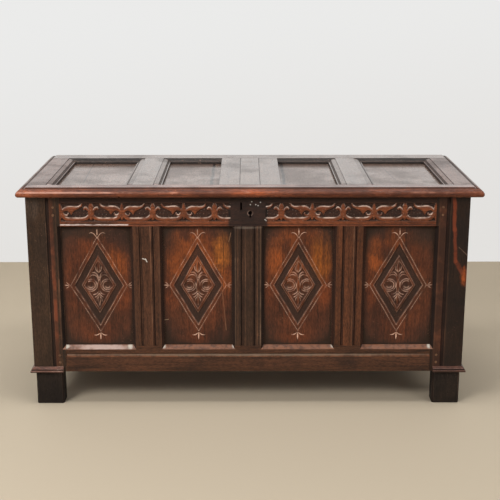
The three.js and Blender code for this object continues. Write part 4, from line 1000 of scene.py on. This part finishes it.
def panel_carving(centre_x, centre_z, x_range, seed):
    def carving(across, up):
        waver = unsteady(across, up, mm(1.0), seed), unsteady(up, across, mm(1.0), seed + 3)
        a, b = np.abs(across - centre_x + waver[0]), up - centre_z + waver[1]
        outer, band = in_kite(a, b, 1.0), in_kite(a, b, band_outer_share)
        frame_edge, heart = in_kite(a, b, band_inner_share), in_kite(a, b, heart_share)
        forms, eye = heart_forms(a, b)
        raised = dome(forms + mm(0.3), leaf_shoulder)
        in_band = step_up(band - mm(1.4), mm(2.0)) * (1 - step_up(frame_edge, mm(1.8)))
        in_heart = step_up(heart, mm(1.6))
        hollow = in_heart * (1 - step_up(eye - eye_radius + mm(2), mm(3)))
        pits = punched(across, up, panel_pits, seed + 11)
        depth = band_depth * in_band + heart_depth * in_heart * (1 - 0.85 * raised) + mm(1.4) * hollow
        depth = depth + mm(0.6) * pits * in_band
        cuts = thin_line(outer + mm(1.6), mm(1.0)) + thin_line(outer - mm(2.4), mm(1.0))
        twigs = sprigs(a, b)
        depth = depth + mm(0.8) * cuts + mm(0.9) * dome(twigs, mm(1.4))
        depth = depth + unsteady(across, up, mm(0.3), seed + 7)
        beads = 0.68 + 0.32 * np.sin(b * 2 * math.pi / bead_run)
        lit = broken(across, up, seed) * beads
        ridges = thin_line(outer - mm(0.4), mm(1.0)) + 0.8 * thin_line(band - mm(0.4), mm(1.0))
        frame_lines = thin_line(frame_edge - mm(1.6), mm(1.0)) + 0.8 * thin_line(heart + mm(1.0), mm(0.9))
        # Painted shade along the edges and into the corners of the panel's recess.
        rim_waver = mm(9) * broken(across, up, seed + 5)
        side_gap = np.minimum(across - x_range[0], x_range[1] - across)
        end_gap = np.minimum(opening_z[1] - up, up - opening_z[0])
        edge_shade = np.exp(-np.clip(side_gap, 0, 1) / mm(6)) + 0.7 * np.exp(-np.clip(end_gap, 0, 1) / mm(7))
        corner = np.clip(side_gap, 0, 1) + np.clip(end_gap, 0, 1)
        corner_shade = 0.95 * np.exp(-np.square(corner / (mm(78) + rim_waver)))
        # Pale ridges and edges are wear with a painted highlight; the lower wall of each eye is painted
        # lit.
        pale = 0.75 * ridges * lit + 0.5 * frame_lines * lit + step_up(twigs, mm(0.7))
        edges = thin_line(forms - mm(0.5), mm(0.7)) * in_heart
        lit_lower_lip = thin_line(eye - eye_radius, mm(2.2)) * step_up(eye_z - b, mm(8)) * in_heart
        pale = pale + 0.68 * edges * broken(across, up, seed + 4) + 0.4 * lit_lower_lip
        marks = {
            "ground": np.clip(in_band * (1 - 0.3 * pits) + 0.5 * in_heart * (1 - raised)
                              + 0.15 * hollow, 0, 1),
            "pale": np.clip(pale, 0, 1),
            "rim": np.clip(edge_shade + corner_shade, 0, 1),
            "dust_and_sheen": 0.35 * (1 - in_heart),
        }
        return depth, marks
    return carving

print("the waist lies", round(waist_drop * 1000, 1), "mm below the middle")

# %% [markdown]
# The finishes are named after the timbers that wear them. The stiles are nearly black from hands and
# floor polish, the rails and muntins are a redder brown, the panels carry patches of painted orange
# sheen and darker olive patches, and the feet are almost without shine. The numbers are colours as a
# screen shows them.

# %% Painted sheen and darker patches on the panels
# Glow, ember, honey and amber are painted sheen; olive is a darker tone.
glow, ember, honey, amber = (166, 84, 34), (130, 63, 29), (216, 124, 44), (160, 88, 28)
olive, crack_and_shade, fillet, scratch = (48, 35, 25), (30, 18, 12), (134, 92, 68), (222, 214, 204)
panel_sheen_and_olive = [
    ((x, 16, z), (half_x, 20, half_z), tint, strength, ragged)
    for x, z, half_x, half_z, tint, strength, ragged in (
        (-480, 552, 110, 34, olive, 0.9, 0.4), (-460, 285, 120, 34, olive, 0.45, 0.6),
        (-400, 460, 42, 62, glow, 0.75, 0.5), (-500, 455, 60, 80, ember, 0.6, 0.6),
        (-395, 350, 46, 60, ember, 0.6, 0.6), (-470, 215, 70, 22, ember, 0.3, 0.5),
        (-226, 480, 56, 84, glow, 1.0, 0.5), (-246, 372, 30, 60, ember, 0.8, 0.5),
        (-150, 450, 56, 130, glow, 0.75, 0.5), (-74, 490, 36, 78, honey, 1.0, 0.6),
        (-64, 400, 28, 60, glow, 0.8, 0.5), (-186, 208, 70, 24, ember, 0.6, 0.5),
        (86, 470, 36, 84, glow, 0.75, 0.4), (150, 548, 90, 44, glow, 1.0, 0.5),
        (150, 430, 52, 120, glow, 0.65, 0.5), (224, 470, 44, 96, amber, 0.9, 0.4),
        (68, 370, 30, 60, ember, 0.7, 0.5), (236, 360, 30, 60, ember, 0.8, 0.5),
        (130, 208, 80, 24, ember, 0.55, 0.5), (-190, 285, 80, 34, olive, 0.35, 0.6),
        (530, 545, 60, 60, olive, 0.8, 0.5), (372, 556, 40, 34, olive, 0.9, 0.5),
        (445, 530, 40, 60, glow, 0.6, 0.5), (388, 480, 34, 80, glow, 0.85, 0.5),
        (376, 370, 28, 60, ember, 0.65, 0.5), (508, 450, 40, 70, ember, 0.3, 0.6),
        (530, 375, 30, 60, olive, 0.5, 0.6))]
print(len(panel_sheen_and_olive), "patches of glow and shade")

# %% [markdown]
# A line runs up a moulded timber so many millimetres from its middle; the pale ones are wear with
# painted sheen, and one dark one is painted shade. Patches lie in the wood under the dirt, touches lie
# on top of everything, and splits are cracks and scratches; some touches and splits are painted
# highlights and shadows. All places are given in millimetres.

# %% Finishes of the front
paint_flecks = ((11, 648), (7, 639), (23, 639), (30, 636), (37, 646), (51, 593), (54, 590))
finishes = {
    "stile_left": oak(
        "oak_left_stile", "z", (42, 28, 19), (82, 57, 40), grime=0.48, worn=(120, 88, 66),
        # The dark line 45 mm from the stile's middle is painted shade on its inner bevel.
        lines=[(22.5, 9, (118, 60, 38), 1.0), (38, 2, (116, 76, 56), 0.5), (45, 5, crack_and_shade, 0.7)],
        patches=[((-650, 0, 640), (30, 30, 60), (86, 74, 66), 0.5, 0.5)]),
    "stile_right": oak(
        "oak_right_stile", "z", (28, 17, 12), (54, 34, 24), grime=0.45, worn=(84, 52, 36),
        lines=[(-39, 2, (116, 80, 60), 0.6), (-26, 19, (106, 60, 40), 0.9), (-8, 3, (66, 50, 36), 0.6)],
        patches=[((660, 0, 412), (15, 40, 38), (176, 84, 36), 0.9, 0.6)],
        splits=[((637, 0, 507), (666, 0, 479), 1.3, (124, 98, 84), 0.8),
                ((616, 0, 655), (621, 0, 560), 8, (128, 58, 32), 0.8),
                ((621, 0, 560), (630, 0, 460), 8, (124, 56, 32), 0.7),
                ((630, 0, 460), (652, 0, 428), 10, (124, 56, 32), 0.6)]),
    "back_stile": oak("oak_back_stiles", "z", (38, 27, 20), (80, 58, 42), polish=0.5),
    "top_rail": oak(
        "oak_top_rail", "x", (86, 43, 25), (150, 82, 48), grime=0.38, figure=0.85,
        tooled=(26, 21, 18), rim=(28, 25, 23),
        patches=[((-465, 0, 583), (110, 20, 12), (50, 34, 25), 0.9, 0.3)],
        touches=[((x, 0, z), (2.4, 12, 2.4), (214, 208, 200), 0.8, 0.1) for x, z in paint_flecks],
        # The white split along the left of the bead is a painted highlight.
        splits=[((-568, 0, 577.3), (-361, 0, 577.3), 2.6, (236, 216, 206), 0.9)]),
    "bottom_rail": oak(
        "oak_bottom_rail", "x", (44, 27, 17), (98, 60, 40), grime=0.42, figure=0.9,
        dust_and_sheen=(124, 78, 52), worn=(112, 74, 52),
        # These pale touches on the channel ledge and the sills are painted highlights.
        touches=[((0, 0, 162), (700, 30, 6), (158, 144, 124), 0.55, 0.4, "ledge"),
                 ((-460, 0, 188), (110, 30, 14), (190, 164, 152), 0.8, 0.6, "ledge"),
                 *[((x, 6, 189), (9, 30, 9), (214, 206, 190), 0.8, 0.5, "ledge")
                   for x in (-562, -366, -262, -44, 262, 562)]]),
    # Pale lines along the fillets of the muntins and the edges of the stiles are wear with painted sheen.
    "muntin": oak(
        "oak_muntins", "z", (46, 27, 18), (98, 60, 40), grime=0.4, figure=0.9,
        lines=[(-37, 3, (92, 62, 46), 0.6), (-19, 2.2, fillet, 0.8), (13, 2.2, fillet, 0.8),
               (37, 3, (92, 62, 46), 0.6)],
        splits=[((-320, 0, 472), (-309, 0, 469), 2.0, scratch, 0.9),
                ((-310, 0, 471), (-306, 0, 462), 2.0, scratch, 0.9)]),
    "muntin_centre": oak(
        "oak_centre_muntin", "z", (46, 30, 21), (84, 56, 40), grime=0.42,
        lines=[(-39, 1.8, (136, 110, 90), 0.7), (-31, 1.6, fillet, 0.7), (-16, 1.8, fillet, 0.8),
               (-8, 1.6, fillet, 0.6), (28, 1.8, fillet, 0.8), (38, 1.8, (136, 110, 90), 0.7)],
        touches=[((0, 0, 568), (60, 20, 5), (150, 136, 124), 0.3, 0.5)]),
    "muntin_right": oak(
        "oak_right_muntin", "z", (50, 29, 18), (116, 66, 40), grime=0.36, figure=0.9,
        lines=[(-19, 2.2, (80, 48, 32), 0.8), (13, 2.2, fillet, 0.9)]),
    "panel": oak(
        "oak_front_panels", "z", (60, 31, 18), (116, 60, 34), grime=0.48, figure=1.0,
        rim=(48, 34, 24), tooled=(50, 35, 26), pale_wear_and_highlight=(226, 182, 156), patches=panel_sheen_and_olive,
        splits=[((-78, 16, 552), (-73, 16, 456), 1.4, (60, 32, 18), 0.9),
                ((-73, 16, 456), (-79, 16, 367), 1.5, (48, 28, 18), 0.9),
                ((-79, 16, 367), (-68, 16, 237), 1.6, (150, 104, 74), 0.7),
                ((-58, 16, 520), (-52, 16, 548), 1.4, (170, 124, 90), 0.7),
                ((-262, 16, 270), (-246, 16, 273), 1.2, (170, 140, 110), 0.8)]),
}
print(len(finishes), "finishes for the front")

# %% [markdown]
# The lid is greyer and shinier than the front, because it was waxed and dusted most. Its mouldings are
# painted dark as shade, which only a mark on their faces can place so finely, and a painted highlight
# runs along the nose. The inside never saw any polish.

# %% Finishes of the sides, the lid and the inside
finishes.update({
    "side_frame_y": oak("oak_side_rails", "y", (48, 29, 19), (92, 58, 40), polish=0.42),
    "side_frame_z": oak("oak_side_muntins", "z", (48, 29, 19), (92, 58, 40), polish=0.42),
    "side_panel": oak("oak_side_panels", "z", (56, 31, 19), (104, 58, 36), polish=0.42),
    "collar": oak(
        "oak_collars", "x", (48, 26, 18), (92, 54, 40), grime=0.35, worn=(190, 158, 140),
        dust_and_sheen=(104, 64, 48), touches=[((612, 0, 114), (90, 60, 30), (44, 27, 19), 0.45, 0.4)]),
    "foot": oak("oak_feet", "z", (27, 18, 12), (50, 37, 28), polish=0.6, shine=0.25, grime=0.5,
                worn=(80, 60, 46)),
    # The worn colour of the front rail and its first touch are a painted highlight along the nose.
    "lid_front": oak(
        "oak_lid_front_rail", "x", (72, 35, 23), (146, 82, 54), polish=0.24, coat=0.95, shine=0.2,
        figure=1.0, grime=0.5, worn=(180, 122, 98), rim=(50, 29, 20),
        touches=[((-540, -30, 680), (200, 20, 12), (226, 172, 150), 0.4, 0.8, "worn"),
                 ((460, -30, 684), (300, 20, 20), (64, 34, 22), 0.45, 0.8)],
        patches=[((3, -30, 684), (80, 20, 14), (150, 72, 36), 0.85, 0.3)]),
    "lid_long": oak("oak_lid_rails", "x", (84, 64, 52), (136, 106, 90), polish=0.26, coat=0.7,
                    shine=0.5, grime=0.4, worn=(176, 140, 118), rim=(14, 10, 8)),
    "lid_cross": oak(
        "oak_lid_uprights", "y", (88, 70, 60), (140, 114, 98), polish=0.26, coat=0.8, shine=0.5,
        grime=0.4, worn=(176, 140, 118), rim=(40, 30, 25),
        patches=[((372, 250, 690), (70, 400, 8), (92, 64, 48), 0.7, 0.6)]),
    "lid_end": oak("oak_lid_ends", "y", (84, 58, 47), (138, 100, 84), polish=0.28, coat=0.4,
                   shine=0.5, grime=0.45, worn=(170, 128, 108), rim=(40, 30, 25)),
    "lid_panel": oak(
        "oak_lid_panels", "y", (100, 78, 66), (150, 120, 104), polish=0.26, coat=0.7, shine=0.5,
        grime=0.5,
        patches=[((-500, 330, 677), (90, 90, 8), (112, 80, 64), 0.7, 0.6),
                 ((-210, 330, 677), (90, 80, 8), (118, 90, 74), 0.5, 0.7),
                 ((190, 250, 677), (70, 160, 8), (96, 70, 54), 0.6, 0.7),
                 ((520, 300, 677), (110, 120, 8), (100, 78, 68), 0.5, 0.7)],
        splits=[((-523, 478, 677), (-511, 139, 677), 2.2, crack_and_shade, 0.9),
                ((445, 466, 677), (464, 173, 677), 2.2, crack_and_shade, 0.9),
                # The two wide dark splits are painted shadows along the panel edges by the middle of the
                # lid; the others are cracks.
                *[((x, 480, 677), (x, 60, 677), 7, crack_and_shade, 0.95) for x in (-113, 113)]]),
    "inner_x": oak("oak_back_and_floor", "x", (84, 62, 44), (140, 106, 76), polish=0.65,
                   worn=(150, 118, 88)),
    "inner_z": oak("oak_back_panels", "z", (84, 62, 44), (140, 106, 76), polish=0.65,
                   worn=(150, 118, 88)),
    "peg": oak("oak_pegs", "y", (96, 66, 46), (150, 112, 84), polish=0.4),
})
print(len(finishes), "timber finishes")

# %% [markdown]
# The hinges and the lock are forged iron, dark and dry. Rust lies in soft clouds, and the corners are
# rubbed bright. The cloud group is used again, since rust spreads as grime does: where it lies, the
# surface is less of a metal and rougher.

# %% Finish of the ironwork
def forged_iron():
    material, tree, surface = new_material("forged_iron")
    here = add(tree, "ShaderNodeTexCoord").outputs["Object"]
    rust = placed(cloud_group, Place=here, Size=60.0, Amount=0.45)["Mask"]
    color = mixed(rust, paint(66, 62, 59), paint(104, 62, 40))
    color = layered(color, (paint(150, 146, 140), mark(tree, "worn"), 0.5))
    tree.links.new(color, surface["Base Color"])
    tree.links.new(scaled(rust, -0.7, 0.85), surface["Metallic"])
    tree.links.new(scaled(rust, 0.4, 0.42), surface["Roughness"])
    dents = noise(here, (180.0, 180.0, 180.0))
    bump = join("ShaderNodeBump", {"Height": dents, "Strength": 0.4, "Distance": mm(0.8)})
    tree.links.new(bump.outputs[0], surface["Normal"])
    return material


iron = forged_iron()
print(iron.name, "with", len(iron.node_tree.nodes), "nodes")

# %% [markdown]
# The carved rail and the four carved panels replace the plainly cut ones of the frame. They keep the
# places of the boards that they stand for, and only their faces are finer.

# %% The carved boards
rail_pitch, panel_pitch = mm(1.25), mm(1.1)
low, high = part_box("rail_front_top")
rail_mesh = carved_board("carved_rail", (span_x[0] + clearance, span_x[1] - clearance),
                         (opening_z[1], carcase_top), front_y, rail_pitch, rail_carving,
                         high.y - low.y, high.y - low.y, mm(4))
fitted(rail_mesh, "carved_rail", finishes["top_rail"], "carcase", ["rail_front_top"])

hidden_tongue, panel_edge, panel_field = mm(7.5), mm(6), mm(38)
lozenge_shifts = {"outer_left": mm(4), "inner_left": 0.0, "inner_right": 0.0, "outer_right": mm(-1)}
for number, (place, shift) in enumerate(lozenge_shifts.items()):
    node = "panel_front_" + place
    low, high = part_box(node)
    x_range = (low.x + hidden_tongue, high.x - hidden_tongue)
    z_range = (low.z + hidden_tongue, high.z - hidden_tongue)
    carving = panel_carving((low.x + high.x) / 2 + shift, (low.z + high.z) / 2 + lozenge_rise,
                            x_range, number)
    mesh = carved_board("carved_" + node, x_range, z_range, low.y, panel_pitch, carving,
                        panel_edge, high.y - low.y, panel_field)
    fitted(mesh, "carved_" + node, finishes["panel"], "carcase", [node])

# %% [markdown]
# The other timbers are eased copies of the frame's own solids. The table says which way each one faces
# and which finish it wears, and the loop does the rest.

# %% The plain timbers
sides = ("left", "right")
timbers = [
    ("front", "stile_left", "dark_oak", "stile_front_", "left"),
    ("front", "stile_right", "dark_oak", "stile_front_", "right"),
    ("back", "back_stile", "dark_oak", "stile_back_", "left right"),
    ("front", "bottom_rail", "red_oak", "rail_front_", "bottom"),
    ("front", "muntin", "red_oak", "muntin_front_", "left"),
    ("front", "muntin_centre", "red_oak", "muntin_front_", "centre"),
    ("front", "muntin_right", "red_oak", "muntin_front_", "right"),
    *[(side, "side_frame_y", "red_oak", f"rail_{side}_", "top bottom") for side in sides],
    *[(side, "side_frame_z", "red_oak", "muntin_", side) for side in sides],
    *[(side, "side_panel", "panel_oak", f"panel_{side}_", "fore rear") for side in sides],
    ("back", "inner_x", "inner_oak", "rail_back_", "top bottom"),
    ("back", "inner_z", "inner_oak", "muntin_back_", "left right"),
    ("back", "inner_z", "inner_oak", "panel_back_", "left centre right"),
    ("up", "inner_x", "inner_oak", "floor_board_", "1 2 3"),
    ("front", "foot", "foot_oak", "foot_front_", "left right"),
    ("front", "collar", "red_oak", "foot_collar_", "left right"),
    ("up", "lid_front", "lid_oak", "lid_rail_", "front"),
    ("up", "lid_long", "lid_oak", "lid_rail_", "back"),
    ("up", "lid_end", "lid_oak", "lid_end_stile_", "left right"),
    ("up", "lid_cross", "lid_oak", "lid_muntin_", "left centre right"),
    ("up", "lid_cross", "lid_oak", "lid_filler_", "left right"),
    ("up", "lid_panel", "lid_oak", "lid_panel_", "outer_left inner_left inner_right outer_right"),
]
for facing, finish, slot, stem, endings in timbers:
    for ending in endings.split():
        body = "lid" if slot == "lid_oak" else "carcase"
        dressed(stem + ending, facing, finishes[finish], body)
print(len(finished), "boards and timbers so far")

# %% [markdown]
# The two strap hinges and the lock were made by a smith. They get the same easing as the timbers, only
# finer, because hammered iron keeps a sharper edge than oak. The bolt rides on a body of its own, and
# the straps and the staple go up with the lid.

# %% The hinges and the lock
ironwork = [
    *[(f"hinge_{part}_{side}", "carcase") for part in ("plate", "pin") for side in sides],
    *[(f"hinge_strap_{side}", "lid") for side in sides],
    ("lock_case", "carcase"), ("lock_bolt", "bolt"), ("lock_staple", "lid"),
]
for node, body in ironwork:
    dressed(node, "back", iron, body, mm(0.4))
print(len(ironwork), "pieces of ironwork")

# %% [markdown]
# Oak pegs pin the joints and hand-made nails hold the ironwork. Both are one small head set again and
# again, so Geometry Nodes sets them: a point for each place carries the way it faces, and every head is
# turned and sized a little differently, as handwork is. The modifier is baked to one plain mesh for the
# pegs and one for the nails, and both ride on the carcase.

# %% A node tree that sets heads on points
full_turn = 2 * math.pi
head_tree = bpy.data.node_groups.new("set_heads", "GeometryNodeTree")
sockets = {
    label: head_tree.interface.new_socket(label, in_out="INPUT", socket_type="NodeSocket" + kind).identifier
    for label, kind in (("Points", "Geometry"), ("Radius", "Float"), ("Crown Radius", "Float"),
                        ("Length", "Float"), ("Sides", "Int"), ("Size Waver", "Float"),
                        ("Seed", "Int"), ("Finish", "Material"))}
head_tree.interface.new_socket("Heads", in_out="OUTPUT", socket_type="NodeSocketGeometry")
given = head_tree.nodes.new("NodeGroupInput").outputs
head = join("GeometryNodeMeshCone", {
    "Vertices": given["Sides"], "Radius Top": given["Crown Radius"], "Radius Bottom": given["Radius"],
    "Depth": given["Length"]}).outputs["Mesh"]
facing = add(head_tree, "GeometryNodeInputNamedAttribute", {"Name": "facing"},
             data_type="FLOAT_VECTOR").outputs["Attribute"]
aimed = join("FunctionNodeAlignEulerToVector", {"Vector": facing}, axis="Z").outputs[0]
spin = join("FunctionNodeRandomValue", {"Min": origin, "Max": (0.0, 0.0, full_turn),
                                        "Seed": given["Seed"]}, data_type="FLOAT_VECTOR").outputs[0]
turned = join("FunctionNodeRotateEuler", {"Rotation": aimed, "Rotate By": spin},
              space="LOCAL").outputs[0]
sizes = join("FunctionNodeRandomValue", {
    "Seed": given["Seed"], 2: maths("SUBTRACT", 1.0, given["Size Waver"]),
    3: maths("ADD", 1.0, given["Size Waver"])}, data_type="FLOAT").outputs[1]
set_heads = join("GeometryNodeInstanceOnPoints", {
    "Points": join("GeometryNodeMeshToPoints", {"Mesh": given["Points"]}).outputs[0],
    "Instance": head, "Rotation": turned, "Scale": sizes}).outputs[0]
real = join("GeometryNodeRealizeInstances", {"Geometry": set_heads}).outputs[0]
dressed_heads = join("GeometryNodeSetMaterial", {"Geometry": real, "Material": given["Finish"]}).outputs[0]
fed(head_tree.nodes.new("NodeGroupOutput"), {"Heads": dressed_heads})
print("head tree inputs", sockets)

# %% [markdown]
# A joiner draws each joint up with two pegs, on both faces of a corner post, and the smith's nails go
# through the hinge plates and the lock case. Their places are worked out from the pieces themselves,
# so that a head always sits on the face that it holds.

# %% The pegs and nails
peg_radius, peg_length, peg_crown, peg_sink = mm(4.2), mm(5), mm(3.6), mm(1.6)
nail_radius, nail_length, nail_crown, nail_sink = mm(4.5), mm(2.4), mm(1.6), mm(0.6)


def heads(name, spots, sizes, material, seed):
    """Bakes one mesh of heads; each spot is a place on a face and the side that the face is on."""
    radius, crown, length, corners, sink = sizes
    places = [Vector(place) - facings[side] * sink for place, side in spots]
    carrier = bpy.data.meshes.new(name + "_points")
    carrier.from_pydata([tuple(place) for place in places], [], [])
    outward = carrier.attributes.new("facing", "FLOAT_VECTOR", "POINT")
    outward.data.foreach_set("vector", [part for _, side in spots for part in facings[side]])
    maker = bpy.data.objects.new(name + "_maker", carrier)
    scene.collection.objects.link(maker)
    setter = maker.modifiers.new("set_heads", "NODES")
    setter.node_group = head_tree
    for label, value in {"Radius": radius, "Crown Radius": crown, "Length": length, "Sides": corners,
                         "Size Waver": 0.1, "Seed": seed, "Finish": material}.items():
        setter[sockets[label]] = value
    depsgraph = bpy.context.evaluated_depsgraph_get()
    mesh = bpy.data.meshes.new_from_object(maker.evaluated_get(depsgraph))
    bpy.data.objects.remove(maker)
    mesh.name = name
    fitted(mesh, name, material, "carcase", [])
    print(name, len(spots), "heads,", len(mesh.polygons), "faces")


def on_face(node, side, places):
    """Spots on one side of a piece; each place is a share of the side's width and a height."""
    low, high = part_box(node)
    plane = {"front": low.y, "back": high.y, "left": low.x, "right": high.x}[side]
    axis = 0 if side in ("front", "back") else 1
    spots = []
    for share, level in places:
        along = low[axis] + share * (high[axis] - low[axis])
        spots.append(((along, plane, level) if axis == 0 else (plane, along, level), side))
    return spots


rails = map(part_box, ("rail_front_top", "rail_front_bottom"))
peg_levels = [(low.z + high.z) / 2 + shift for low, high in rails for shift in (mm(-12), mm(12))]
peg_spots = []
for end, near in (("left", 0.81), ("right", 0.19)):
    for post, deep in (("front", 0.64), ("back", 0.36)):
        for side, share in ((post, near), (end, deep)):
            peg_spots += on_face(f"stile_{post}_{end}", side, [(share, level) for level in peg_levels])
peg_sizes = (peg_radius, peg_crown, peg_length, 9, peg_sink + peg_length / 2)
heads("joint_pegs", peg_spots, peg_sizes, finishes["peg"], 3)

plate_nails = [(share, mm(level)) for share, level in ((0.24, 594), (0.76, 594), (0.5, 620), (0.5, 645))]
case_nails = [(share, mm(level)) for share in (0.08, 0.92) for level in (592, 648)]
nail_spots = [spot for side in sides for spot in on_face(f"hinge_plate_{side}", "back", plate_nails)]
nail_spots += on_face("lock_case", "back", case_nails)
nail_sizes = (nail_radius, nail_crown, nail_length, 7, nail_sink)
heads("iron_nails", nail_spots, nail_sizes, iron, 5)

# %% [markdown]
# The count of dressed pieces is printed at the end.

# %% The count of dressed pieces
print("pieces dressed", len(finished))
